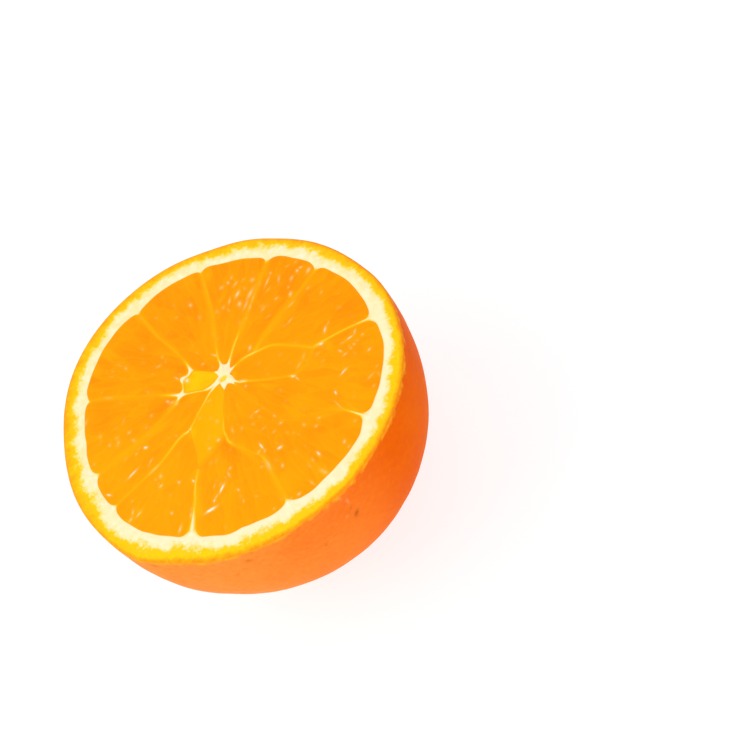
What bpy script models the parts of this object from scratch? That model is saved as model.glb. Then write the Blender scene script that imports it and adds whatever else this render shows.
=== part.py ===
"""Half of a sweet orange, cut across its middle, lying on its blossom end with the cut face up.

It is one solid. The rind, the pulp segments, the membranes between them and the core are relief and
colour on it. Metres, +Z up. The origin is on the floor, under the middle of the half.
"""

import math

import bmesh
import bpy
import numpy as np
from mathutils import Matrix, Vector, noise
from mathutils.geometry import delaunay_2d_cdt

MM = 0.001

# The body: a superellipse of revolution, widest at the cut and standing on a small flat spot.
RIM_RADIUS = 37.8 * MM
ROUND_DEPTH = 44.0 * MM
CUT_HEIGHT = 43.6 * MM
BODY_POWER = 2.3
BODY_LEAN = Vector((1.2 * MM, 0.2 * MM))
SKIN_WAVE = 0.15 * MM
SKIN_WAVE_LENGTH = 11 * MM
RIM_CHAMFER = 0.3 * MM
SCAR_RADIUS = 2.0 * MM
SCAR_DEPTH = 0.35 * MM

# Where the outline of the cut leaves its circle: degrees, height in mm, spread in degrees.
RIM_BULGES = ((117, 1.0, 37), (150, -1.15, 22), (211, 1.3, 18), (330, 0.7, 24), (63, -0.5, 11))

# The rind seen on the cut: coloured zest outside, white albedo inside, thicker on one side.
RIND_THICKNESS = 4.5 * MM
RIND_BULGES = ((226, 1.3, 40),)
ZEST_THICKNESS = 1.5 * MM
NOTCH_DEPTH = 0.9
NOTCH_SPREAD = 3.0

# The membranes between the segments, seen on the cut, in mm from its centre: X to the right, Y away.
# Each starts where a rind angle is given, and ends at a corner that other membranes share.
CORE = (1.9, 4.6)
EAST = (9.7, 4.2)
NORTH = (-2.3, 11.2)
WEST = (-7.5, 8.3)
ELBOW = (-10.1, -0.6)
KITE_LEFT = (-14.0, -9.7)
KITE_RIGHT = (-5.6, -8.0)
LOBE_TIP = (12.6, -7.1)
LOBE_SIDE = (19.4, -4.9)
MEMBRANES = {
    "a": (19.0, (21.8, 8.1), (15.0, 6.5), EAST),
    "b": (40.8, (20.7, 18.5), (16.5, 15.4), (11.3, 11.7), (7.6, 9.1), (4.2, 6.2), CORE),
    "c": (67.9, (10.0, 23.7), (8.2, 19.0), (6.1, 14.9), (4.5, 11.2), (2.9, 6.7), CORE),
    "d": (95.4, (-3.3, 25.3), (-2.6, 20.1), (-2.3, 14.9), NORTH),
    "e": (135.0, (-18.5, 19.6), (-15.9, 16.9), (-11.7, 12.8), WEST),
    "f": (168.8, (-22.0, 5.9), (-14.9, 6.2), (-10.1, 7.0), WEST),
    "g": (185.7, (-26.4, -2.8), (-19.0, -2.1), (-13.3, -0.5), ELBOW),
    "h": (222.0, (-19.0, -16.0), (-16.4, -12.3), KITE_LEFT),
    "i": (261.8, (-3.8, -24.9), (-2.6, -18.1), (-4.4, -14.4), (-5.7, -9.8), KITE_RIGHT),
    "j": (304.4, (14.4, -20.7), (5.0, -14.4), (4.3, -11.0), (3.2, -6.1), (2.9, -0.8), CORE),
    "k": (345.5, (26.5, -6.6), (21.8, -5.3), LOBE_SIDE),
    "east_core": (EAST, (7.0, 4.8), CORE),
    "east_side": (EAST, (13.4, 2.6), (16.0, -0.3), LOBE_SIDE),
    "north_core": (NORTH, (1.2, 6.8), CORE),
    "north_west": (NORTH, (-5.0, 11.3), WEST),
    "west_core": (WEST, (-1.9, 4.7), CORE),
    "elbow_core": (ELBOW, (-7.0, 1.3), (-4.4, 2.6), CORE),
    "kite_elbow": (KITE_LEFT, (-12.2, -6.1), ELBOW),
    "kite_foot": (KITE_LEFT, (-9.8, -9.6), KITE_RIGHT),
    "kite_core": (KITE_RIGHT, (-4.6, -5.3), (0.2, 1.7), CORE),
    "tip_side": (LOBE_TIP, (16.5, -7.0), LOBE_SIDE),
    "tip_core": (LOBE_TIP, (8.1, -3.1), (4.5, -0.1), CORE),
}

# Each segment: the two rind angles that it lies between, by membrane, and its way round inside.
# A minus sign means that the membrane is followed backwards.
SEGMENTS = (
    ("a", "b", "b -east_core -a"),
    ("b", "c", "c -b"),
    ("c", "d", "d north_core -c"),
    ("d", "e", "e -north_west -d"),
    ("e", "f", "f -e"),
    ("f", "g", "g elbow_core -west_core -f"),
    ("g", "h", "h kite_elbow -g"),
    ("h", "i", "i -kite_foot -h"),
    ("i", "j", "j -kite_core -i"),
    ("j", "k", "k -tip_side tip_core -j"),
    ("k", "a", "a east_side -k"),
)

# The lobes round the core, where the cut runs along a membrane: way round, depth in mm, slope in mm.
LOBES = (
    ("north_core -west_core -north_west", 1.3, 0.5),
    ("elbow_core -kite_core -kite_foot kite_elbow", 0.45, 1.6),
    ("east_side -tip_side tip_core -east_core", 0.2, 1.6),
)

# Membrane widths in mm: in the middle, more at the rind and at the core, and how fast that fades.
WALL_HALF_WIDTH = 0.18
WALL_AT_RIND = (0.45, 1.6)
WALL_AT_CORE = (0.4, 2.6)

# Relief of the cut face in mm.
GROOVE_DEPTH = 0.12
PULP_CROWN = 0.4
PULP_SLOPE = 1.0
PULP_WAVE = 0.08
PITH_HOLLOW = (1.6, 4.0)
PITH_HOLLOW_RADIUS = 1.0
PITH_HOLLOW_DEPTH = 0.8

# Mesh: sides round the body, rows down it, and the spacing of points on the cut face in mm.
SIDES = 120
SKIN_ROWS = 18
CURVE_STEP = 0.4
OUTLINE_STEP = 1.7
SHOULDER = 0.8
GRID_STEP = 2.3
ROUNDING_PASSES = 14

COLOURS = {
    "peel": ((0.87, 0.21, 0.012), 0.42),
    "zest": ((0.98, 0.55, 0.01), 0.5),
    "albedo": ((0.96, 0.88, 0.55), 0.7),
    "pulp": ((0.97, 0.37, 0.005), 0.25),
    "lobe": ((0.98, 0.48, 0.005), 0.35),
    "membrane": ((0.98, 0.62, 0.12), 0.45),
}


def clear_scene():
    for item in list(bpy.data.objects):
        bpy.data.objects.remove(item, do_unlink=True)


def bulged(degrees, base, bulges):
    """The base value in mm with rounded bulges added where their angles say."""
    value = np.full(np.shape(degrees), base, float)
    for centre, height, spread in bulges:
        away = (np.asarray(degrees) - centre + 180) % 360 - 180
        value += height * np.exp(-((away / spread) ** 2))
    return value


def rim_radius(degrees):
    return bulged(degrees, RIM_RADIUS / MM, RIM_BULGES)


def pulp_radius(degrees):
    """The inner edge of the rind, notched where each membrane meets it."""
    notches = tuple(
        (path[0], NOTCH_DEPTH, NOTCH_SPREAD)
        for path in MEMBRANES.values()
        if isinstance(path[0], float)
    )
    return rim_radius(degrees) - bulged(degrees, RIND_THICKNESS / MM, RIND_BULGES + notches)


def polar(degrees, radius):
    turn = np.radians(degrees)
    return np.stack([radius * np.cos(turn), radius * np.sin(turn)], axis=-1)


def smooth_curve(points, step):
    """Points about a step apart on the Catmull-Rom curve through the given ones."""
    points = np.asarray(points, float)
    padded = np.vstack([2 * points[0] - points[1], points, 2 * points[-1] - points[-2]])
    pieces = []
    for before, start, end, after in zip(padded, padded[1:], padded[2:], padded[3:]):
        count = max(1, round(np.linalg.norm(end - start) / step))
        t = (np.arange(count) / count)[:, None]
        pieces.append(
            start
            + 0.5 * t * (end - before)
            + t**2 * (before - 2.5 * start + 2 * end - 0.5 * after)
            + t**3 * (1.5 * (start - end) + 0.5 * (after - before))
        )
    return np.vstack(pieces + [points[-1:]])


def membrane_line(name):
    path = MEMBRANES[name]
    if isinstance(path[0], float):
        start = polar(path[0], pulp_radius(path[0]))
        path = (tuple(start),) + path[1:]
    return smooth_curve(path, CURVE_STEP)


def way_round(names):
    """The closed line along the named membranes, without the point shared by each pair."""
    lines = []
    for name in names.split():
        line = membrane_line(name.lstrip("-"))
        lines.append(line[::-1][:-1] if name.startswith("-") else line[:-1])
    return lines


def rind_arc(start, end):
    span = (end - start) % 360
    count = round(math.radians(span) * RIM_RADIUS / MM / CURVE_STEP)
    degrees = start + span * np.arange(count) / count
    return polar(degrees, pulp_radius(degrees))


def evenly(loop, step):
    """The closed loop again, with points a step apart."""
    ends = np.vstack([loop, loop[:1]])
    along = np.concatenate([[0], np.cumsum(np.linalg.norm(np.diff(ends, axis=0), axis=1))])
    count = max(6, round(along[-1] / step))
    places = np.arange(count) * along[-1] / count
    return np.stack([np.interp(places, along, ends[:, axis]) for axis in (0, 1)], axis=-1)


def turned_left(loop):
    """The loop in the anticlockwise order."""
    nxt = np.roll(loop, -1, axis=0)
    area = (loop[:, 0] * nxt[:, 1] - nxt[:, 0] * loop[:, 1]).sum()
    return loop if area > 0 else loop[::-1]


def half_width(points):
    """Half the width of the membranes at these places."""
    degrees = np.degrees(np.arctan2(points[:, 1], points[:, 0]))
    from_rind = pulp_radius(degrees) - np.linalg.norm(points, axis=1)
    from_core = np.linalg.norm(points - np.array(CORE), axis=1)
    at_rind = WALL_AT_RIND[0] * np.exp(-np.maximum(from_rind, 0) / WALL_AT_RIND[1])
    at_core = WALL_AT_CORE[0] * np.exp(-from_core / WALL_AT_CORE[1])
    return WALL_HALF_WIDTH + at_rind + at_core


def inset(loop, margin):
    """The loop moved inwards by the margin of each point, where nothing else of it comes nearer."""
    along = np.roll(loop, -1, axis=0) - np.roll(loop, 1, axis=0)
    inward = np.stack([-along[:, 1], along[:, 0]], axis=-1)
    inward /= np.linalg.norm(inward, axis=1)[:, None]
    moved = loop + inward * margin[:, None]
    gaps = np.linalg.norm(moved[:, None] - loop[None], axis=2) - margin[None]
    return moved[gaps.min(axis=1) > -0.1 * CURVE_STEP]


def rounded(loop):
    """The loop with its corners rounded, most of all at the rind."""
    loop = evenly(loop, CURVE_STEP)
    ease = np.clip(np.linalg.norm(loop, axis=1) / 30, 0.12, 0.6) ** 1.5
    for _ in range(ROUNDING_PASSES):
        middle = (np.roll(loop, 1, axis=0) + np.roll(loop, -1, axis=0)) / 2
        loop = loop + ease[:, None] * (middle - loop)
    return loop


def cell_outlines():
    """The outline on the cut of each segment, and of each lobe round the core."""
    loops = []
    for first, second, names in SEGMENTS:
        arc = rind_arc(MEMBRANES[first][0], MEMBRANES[second][0])
        loops.append(np.vstack([arc] + way_round(names)))
    for names, _, _ in LOBES:
        loops.append(np.vstack(way_round(names)))
    loops = [evenly(turned_left(loop), CURVE_STEP) for loop in loops]
    return [rounded(inset(loop, half_width(loop))) for loop in loops]


def inside(points, loop):
    x, y = points[:, 0][:, None], points[:, 1][:, None]
    (x0, y0), (x1, y1) = loop.T, np.roll(loop, -1, axis=0).T
    rise = np.where(y1 == y0, 1e-12, y1 - y0)
    crossed = ((y0 > y) != (y1 > y)) & (x < x0 + (y - y0) * (x1 - x0) / rise)
    return crossed.sum(axis=1) % 2 == 1


def distance_to(points, loop):
    """How far each point is from the closed loop."""
    start, step = loop, np.roll(loop, -1, axis=0) - loop
    away = points[:, None] - start[None]
    share = np.clip((away * step).sum(axis=2) / (step**2).sum(axis=1), 0, 1)
    return np.linalg.norm(away - share[..., None] * step, axis=2).min(axis=1)


def triangular_grid(step, reach):
    rows = np.arange(-reach, reach, step * math.sqrt(3) / 2)
    across = np.arange(-reach, reach, step)
    shifted = [
        np.stack([across + (i % 2) * step / 2, np.full(len(across), y)], axis=-1)
        for i, y in enumerate(rows)
    ]
    return np.vstack(shifted)


def circle(centre, radius, count):
    return np.array(centre) + polar(np.arange(count) * 360 / count, radius)


def relief(points, outlines):
    """The height in mm of the cut face over its plane."""
    height = np.zeros(len(points))
    middle = np.linalg.norm(points, axis=1)
    degrees = np.degrees(np.arctan2(points[:, 1], points[:, 0]))
    height[middle < pulp_radius(degrees)] = -GROOVE_DEPTH
    wave = np.array([noise.noise((x / 2.5, y / 2.5, 3.0)) for x, y in points])
    for number, outline in enumerate(outlines):
        within = inside(points, outline)
        depth_in = distance_to(points[within], outline)
        if number < len(SEGMENTS):
            crown = PULP_CROWN * (1 - np.exp(-depth_in / PULP_SLOPE))
            height[within] = -GROOVE_DEPTH + crown + PULP_WAVE * wave[within]
        else:
            _, depth, slope = LOBES[number - len(SEGMENTS)]
            height[within] = -GROOVE_DEPTH - depth * (1 - np.exp(-depth_in / slope))
    from_hollow = np.linalg.norm(points - np.array(PITH_HOLLOW), axis=1)
    in_hollow = from_hollow < 0.5 * PITH_HOLLOW_RADIUS
    height[in_hollow] = -PITH_HOLLOW_DEPTH
    return height


def face_plan(outlines):
    """Points and triangles of the cut face, with the rim first."""
    degrees = np.arange(SIDES) * 360 / SIDES
    rim = polar(degrees, rim_radius(degrees) - RIM_CHAMFER / MM)
    zest_edge = polar(degrees, rim_radius(degrees) - ZEST_THICKNESS / MM)
    albedo_edge = polar(degrees, pulp_radius(degrees) + 0.7)
    hollow = circle(PITH_HOLLOW, PITH_HOLLOW_RADIUS, 9)
    edges_of = [evenly(outline, OUTLINE_STEP) for outline in outlines]
    loops = [rim, zest_edge, hollow] + edges_of
    shoulders = [inset(loop, np.full(len(loop), SHOULDER)) for loop in edges_of]
    fixed = np.vstack(loops + shoulders + [albedo_edge])
    grid = triangular_grid(GRID_STEP, RIM_RADIUS / MM)
    grid_degrees = np.degrees(np.arctan2(grid[:, 1], grid[:, 0]))
    grid = grid[np.linalg.norm(grid, axis=1) < pulp_radius(grid_degrees)]
    clear = np.array([np.linalg.norm(fixed - point, axis=1).min() for point in grid]) > 0.55 * GRID_STEP
    points = np.vstack([fixed, [PITH_HOLLOW], grid[clear]])
    edges, start = [], 0
    for loop in loops:
        edges += [(start + i, start + (i + 1) % len(loop)) for i in range(len(loop))]
        start += len(loop)
    plan = delaunay_2d_cdt([Vector(point) for point in points], edges, [], 0, 1e-4)
    found, _, triangles, sources = plan[:4]
    rim_place = {}
    for index, source in enumerate(sources):
        rim_place.update({number: index for number in source if number < SIDES})
    return np.array([tuple(point) for point in found]), triangles, rim_place


def triangle_slots(points, triangles, outlines):
    """The name of the material of each triangle of the cut face."""
    middles = np.array([points[list(triangle)].mean(axis=0) for triangle in triangles])
    degrees = np.degrees(np.arctan2(middles[:, 1], middles[:, 0]))
    out = np.linalg.norm(middles, axis=1)
    slots = np.where(out < pulp_radius(degrees), "membrane", "albedo").astype(object)
    slots[out > rim_radius(degrees) - ZEST_THICKNESS / MM] = "zest"
    slots[np.linalg.norm(middles - np.array(CORE), axis=1) < 2.4] = "albedo"
    for number, outline in enumerate(outlines):
        slots[inside(middles, outline)] = "pulp" if number < len(SEGMENTS) else "lobe"
    slots[np.linalg.norm(middles - np.array(PITH_HOLLOW), axis=1) < PITH_HOLLOW_RADIUS] = "lobe"
    return slots


def skin_row(depth, degrees):
    """One row of the skin, this far under the cut."""
    share = min(depth / ROUND_DEPTH, 1.0)
    narrowing = (1 - share**BODY_POWER) ** (1 / BODY_POWER)
    # The bulges of the rim fade out down the body.
    even = RIM_RADIUS / MM + (rim_radius(degrees) - RIM_RADIUS / MM) * (1 - share)
    flat = polar(degrees, even * narrowing * MM)
    row = []
    for x, y in flat:
        place = Vector((x + BODY_LEAN.x * share, y + BODY_LEAN.y * share, CUT_HEIGHT - depth))
        wave = noise.noise(place / SKIN_WAVE_LENGTH) * SKIN_WAVE * min(1, 4 * share) * narrowing
        place += Vector((x, y, 0)).normalized() * wave
        row.append(place)
    return row


def skin_depths():
    """Depths under the cut of the rows of the skin, closer together towards the flat spot."""
    last = math.asin(CUT_HEIGHT / ROUND_DEPTH)
    turned = [ROUND_DEPTH * math.sin(last * i / SKIN_ROWS) for i in range(1, SKIN_ROWS)]
    return [RIM_CHAMFER] + turned + [CUT_HEIGHT]


def add_skin(mesh, rim_verts, degrees):
    """The skin from the rim down to the flat spot, with the scar of the blossom in its middle."""
    rows = [rim_verts]
    for depth in skin_depths():
        rows.append([mesh.verts.new(place) for place in skin_row(depth, degrees)])
    centre = Vector((BODY_LEAN.x, BODY_LEAN.y, 0))
    for radius, lift in ((SCAR_RADIUS, 0), (0.7 * SCAR_RADIUS, SCAR_DEPTH)):
        ring = polar(degrees[::3], radius)
        rows.append([mesh.verts.new(centre + Vector((x, y, lift))) for x, y in ring])
    for upper, lower in zip(rows, rows[1:]):
        join_rows(mesh, upper, lower)
    middle = mesh.verts.new(centre + Vector((0, 0, SCAR_DEPTH)))
    last = rows[-1]
    for i, corner in enumerate(last):
        mesh.faces.new((corner, last[(i + 1) % len(last)], middle))


def join_rows(mesh, upper, lower):
    """Faces between two rows. The lower one may have fewer points, by a whole factor."""
    factor = len(upper) // len(lower)
    for i, corner in enumerate(lower):
        after = lower[(i + 1) % len(lower)]
        above = [upper[(i * factor + k) % len(upper)] for k in range(factor + 1)]
        if factor == 1:
            mesh.faces.new((above[0], above[1], after, corner))
            continue
        for k in range(factor):
            mesh.faces.new((above[k], above[k + 1], corner if k < factor // 2 + 1 else after))
        mesh.faces.new((above[factor // 2 + 1], after, corner))


def add_materials(mesh_data):
    for name, (colour, roughness) in COLOURS.items():
        material = bpy.data.materials.new(name)
        material.use_nodes = True
        shader = material.node_tree.nodes["Principled BSDF"]
        shader.inputs["Base Color"].default_value = (*colour, 1)
        shader.inputs["Roughness"].default_value = roughness
        mesh_data.materials.append(material)


def build_half():
    outlines = cell_outlines()
    points, triangles, rim_place = face_plan(outlines)
    heights = relief(points, outlines)
    slots = triangle_slots(points, triangles, outlines)
    slot_number = {name: number for number, name in enumerate(COLOURS)}
    degrees = np.arange(SIDES) * 360 / SIDES

    mesh = bmesh.new()
    top = [
        mesh.verts.new((x * MM, y * MM, CUT_HEIGHT + z * MM))
        for (x, y), z in zip(points, heights)
    ]
    for triangle, slot in zip(triangles, slots):
        face = mesh.faces.new([top[index] for index in triangle])
        face.material_index = slot_number[slot]
    add_skin(mesh, [top[rim_place[number]] for number in range(SIDES)], degrees)
    bmesh.ops.triangulate(mesh, faces=[face for face in mesh.faces if len(face.verts) > 3])
    bmesh.ops.recalc_face_normals(mesh, faces=mesh.faces[:])

    low, high = (Vector(f(v.co[i] for v in mesh.verts) for i in range(3)) for f in (min, max))
    middle = (low + high) / 2
    bmesh.ops.transform(mesh, matrix=Matrix.Translation((-middle.x, -middle.y, -low.z)), verts=mesh.verts)

    data = bpy.data.meshes.new("orange_half")
    mesh.to_mesh(data)
    mesh.free()
    add_materials(data)
    data.shade_smooth()
    data.set_sharp_from_angle(angle=math.radians(50))
    half = bpy.data.objects.new("orange_half", data)
    bpy.context.collection.objects.link(half)
    return half


clear_scene()
build_half()
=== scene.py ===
"""The looks of half an orange with its cut face up: skin, cut rind, membranes, pulp and torn juice sacs.

Lengths here are in millimetres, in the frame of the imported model, until make_piece turns them to metres.
"""

import math

import bpy
import numpy as np
from mathutils import Matrix, Vector, kdtree, noise
from mathutils.geometry import delaunay_2d_cdt


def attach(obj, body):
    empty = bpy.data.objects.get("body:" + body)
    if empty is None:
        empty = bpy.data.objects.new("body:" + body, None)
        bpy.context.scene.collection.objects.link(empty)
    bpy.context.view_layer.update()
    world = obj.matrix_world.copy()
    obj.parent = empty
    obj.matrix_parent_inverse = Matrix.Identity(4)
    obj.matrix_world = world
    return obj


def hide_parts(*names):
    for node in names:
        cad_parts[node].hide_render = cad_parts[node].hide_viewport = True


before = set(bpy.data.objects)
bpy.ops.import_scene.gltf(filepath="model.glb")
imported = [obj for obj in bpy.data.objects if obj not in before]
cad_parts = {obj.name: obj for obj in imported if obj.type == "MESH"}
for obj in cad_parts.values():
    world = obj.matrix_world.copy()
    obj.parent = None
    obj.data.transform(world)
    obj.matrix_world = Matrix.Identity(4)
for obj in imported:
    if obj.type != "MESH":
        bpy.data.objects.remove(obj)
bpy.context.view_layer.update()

MM = 0.001
NODE = "orange_half"
BODY = "root"

# The body: a superellipse of revolution, widest at the cut and standing on a small flat spot.
RIM_RADIUS = 37.8
ROUND_DEPTH = 44.0
CUT_HEIGHT = 43.6
BODY_POWER = 2.3
BODY_LEAN = np.array((1.2, 0.2))
SKIN_WAVE = 0.15
SKIN_WAVE_LENGTH = 11
# The side of the skin painted darker and redder, as painted shade and painted reddish bounce light:
# degrees, height, spread in degrees.
SHADED_SKIN_SIDE = ((318, 1.25, 42),)

# Small marks on the skin: degrees, depth under the cut, length, width, tilt in degrees, relief,
# and how dark or, with a minus sign, how pale.
SKIN_MARKS = (
    (276.9, 9.4, 2, 0.9, -60, -0.12, 1), (274.6, 7.3, 1.3, 0.7, 20, -0.08, 0.35),
    (274, 7.6, 1, 0.5, -50, 0.04, -0.5), (276.5, 6.4, 1.3, 0.45, -60, -0.05, 0.5),
    (276.9, 3.9, 1.6, 0.4, 90, 0.04, -0.7), (275.7, 1.6, 1.4, 0.35, 90, 0.04, -0.6),
    (263.4, 11.4, 1.9, 0.8, 90, -0.1, 0.35), (211.4, 1.6, 2, 1.3, 10, -0.12, 0.6),
    (241.5, 3.3, 1.7, 1.2, 20, -0.12, 0.55), (223.1, 23.1, 1.4, 1, 0, -0.15, 0.3),
    (183, 21.3, 1.4, 1, 0, -0.15, 0.3), (222.2, 8.5, 0.7, 0.7, 0, -0.08, 0.4),
    (252, 6.4, 1.1, 0.7, 30, -0.1, 0.25), (233, 11, 1, 0.8, 0, -0.1, 0.22),
    (205, 6, 1, 0.7, 0, -0.1, 0.22), (30, 9, 1.6, 0.9, 40, -0.12, 0.35),
    (78, 17, 1.3, 0.8, 70, -0.1, 0.3), (118, 6, 1.5, 0.6, 20, -0.08, 0.35),
    (152, 26, 1.5, 1, 0, -0.12, 0.3), (341, 20, 1.4, 0.8, 50, -0.1, 0.3),
)
PIT_SPACING = 1.5
PIT_RADIUS = 0.38
PIT_DEPTH = 0.085
RIPPLE_LENGTH = 3.2
RIPPLE_HEIGHT = 0.05
SCAR_RADIUS = 2.0
SCAR_DEPTH = 0.35
CREASE_LENGTH = 0.9
CREASE_HEIGHT = 0.12
PEEL_THICKNESS = 1.2
INNER_POLE_HEIGHT = 2.7

# Where the outline of the cut leaves its circle: degrees, height, spread in degrees.
RIM_BULGES = ((117, 1.0, 37), (150, -1.15, 22), (211, 1.3, 18), (330, 0.7, 24), (63, -0.5, 11))
# Smaller waves of the rim alone, which the inner edge of the rind does not follow.
RIM_WAVES = ((219, -0.8, 8.5), (354, 0.45, 10), (40, -0.35, 9), (264, -0.3, 12))

# The rind seen on the cut: coloured zest outside, white albedo inside, thicker on one side.
RIND_THICKNESS = 4.5
RIND_BULGES = (
    (226, 1.3, 40), (344, -0.65, 36), (291, -0.4, 6), (237, -0.6, 6), (211, 0.4, 10), (261, 0.6, 7),
    (95, 0.65, 6), (138, 0.45, 14), (171, 0.45, 10), (64, -0.2, 12), (300.5, 0.6, 2.4), (349, 0.4, 3),
    (45, 0.25, 4),
)
ZEST_WIDTH = 1.9
ZEST_BULGES = (
    (354, 0.5, 3.5), (352, -0.35, 13), (18, 0.6, 4), (60, 0.3, 6), (102, -1, 3.5), (105, 0.6, 20),
    (110, 0.4, 5), (137, -0.7, 3.5), (146, 1.2, 16), (150, -1, 3.5), (162, 0.45, 4), (178, 1.6, 6.5),
    (205, 1, 7), (221, 1.2, 8), (233, 0.8, 8), (246, 0.8, 4), (258, -0.5, 3.5), (259, 1.2, 10),
    (282, -0.4, 4), (288, 0.3, 6), (324, 0.9, 8), (330, -0.65, 3.5),
)
EDGE_WIDTH = 0.4
EDGE_BULGES = ((235, 0.9, 30), (325, 0.45, 40))
NOTCH_DEPTH = 1.0
NOTCH_SPREAD = 1.9
# The rows of oil glands that the cut opens: distance from the rim and spacing, then how far they
# stray along the row and across it, and their radii.
GLAND_ROWS = ((0.75, 1.15), (1.45, 1.9))
GLAND_STRAY = (0.32, 0.22)
GLAND_RADIUS = (0.26, 0.44)
GLAND_DEPTH = 0.05
# Where the white is creamier.
CREAMY_BULGES = ((240, 1, 55), (328, 0.75, 28))

# The membranes between the segments, seen on the cut, from its centre: X to the right, Y away.
# Each starts where a rind angle is given, and ends at a corner that other membranes share.
CORE = (1.9, 4.6)
EAST = (9.7, 4.2)
NORTH = (-2.4, 11.5)
WEST = (-7.2, 8.1)
ELBOW = (-10.4, -0.6)
KITE_LEFT = (-14.0, -9.7)
KITE_RIGHT = (-5.6, -8.0)
LOBE_TIP = (12.6, -7.1)
LOBE_SIDE = (19.4, -4.9)
MEMBRANES = {
    "a": (19.0, (21.8, 8.1), (15.0, 6.5), EAST),
    "b": (40.8, (20.7, 18.5), (16.5, 15.4), (11.3, 11.7), (7.6, 9.1), (4.2, 6.2), CORE),
    "c": (67.9, (10.0, 23.7), (8.2, 19.0), (6.1, 14.9), (4.2, 11.1), (3.4, 9.2), (2.9, 7.0), CORE),
    "d": (95.4, (-3.3, 25.3), (-2.6, 20.1), (-2.2, 14.9), NORTH),
    "e": (135.0, (-18.5, 19.6), (-15.9, 16.9), (-11.7, 12.8), WEST),
    "f": (168.8, (-22.0, 5.9), (-14.9, 6.2), (-10.1, 7.0), WEST),
    "g": (185.7, (-26.4, -2.8), (-19.0, -2.1), (-13.3, -0.5), ELBOW),
    "h": (222.6, (-19.0, -16.0), (-16.4, -12.3), KITE_LEFT),
    "i": (261.8, (-3.8, -24.9), (-2.6, -18.1), (-4.4, -14.4), (-5.7, -9.8), KITE_RIGHT),
    "j": (304.0, (14.4, -20.7), (5.0, -14.4), (4.3, -11.0), (3.2, -6.1), (2.9, -1.5), (2.6, 1.2), CORE),
    "k": (344.8, (26.5, -6.6), (21.8, -5.3), LOBE_SIDE),
    "east_core": (EAST, (7.0, 4.8), CORE),
    "east_side": (EAST, (13.4, 2.6), (16.0, -0.3), LOBE_SIDE),
    "north_core": (NORTH, (1.2, 6.8), CORE),
    "north_west": (NORTH, (-3.6, 10.9), (-5.0, 11.3), (-5.4, 10.3), (-6.2, 8.8), WEST),
    "west_core": (WEST, (-4.6, 6.3), (-2.1, 4.7), CORE),
    "elbow_core": (ELBOW, (-7.0, 1.3), (-4.4, 2.6), (-2.2, 3.65), CORE),
    "kite_elbow": (KITE_LEFT, (-12.2, -6.1), ELBOW),
    "kite_foot": (KITE_LEFT, (-9.8, -9.6), KITE_RIGHT),
    "kite_core": (KITE_RIGHT, (-4.6, -5.3), (0.2, 1.7), CORE),
    "tip_side": (LOBE_TIP, (16.5, -7.0), LOBE_SIDE),
    "tip_core": (LOBE_TIP, (8.1, -3.4), (4.7, -0.2), (3.4, 1.0), CORE),
}

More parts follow.
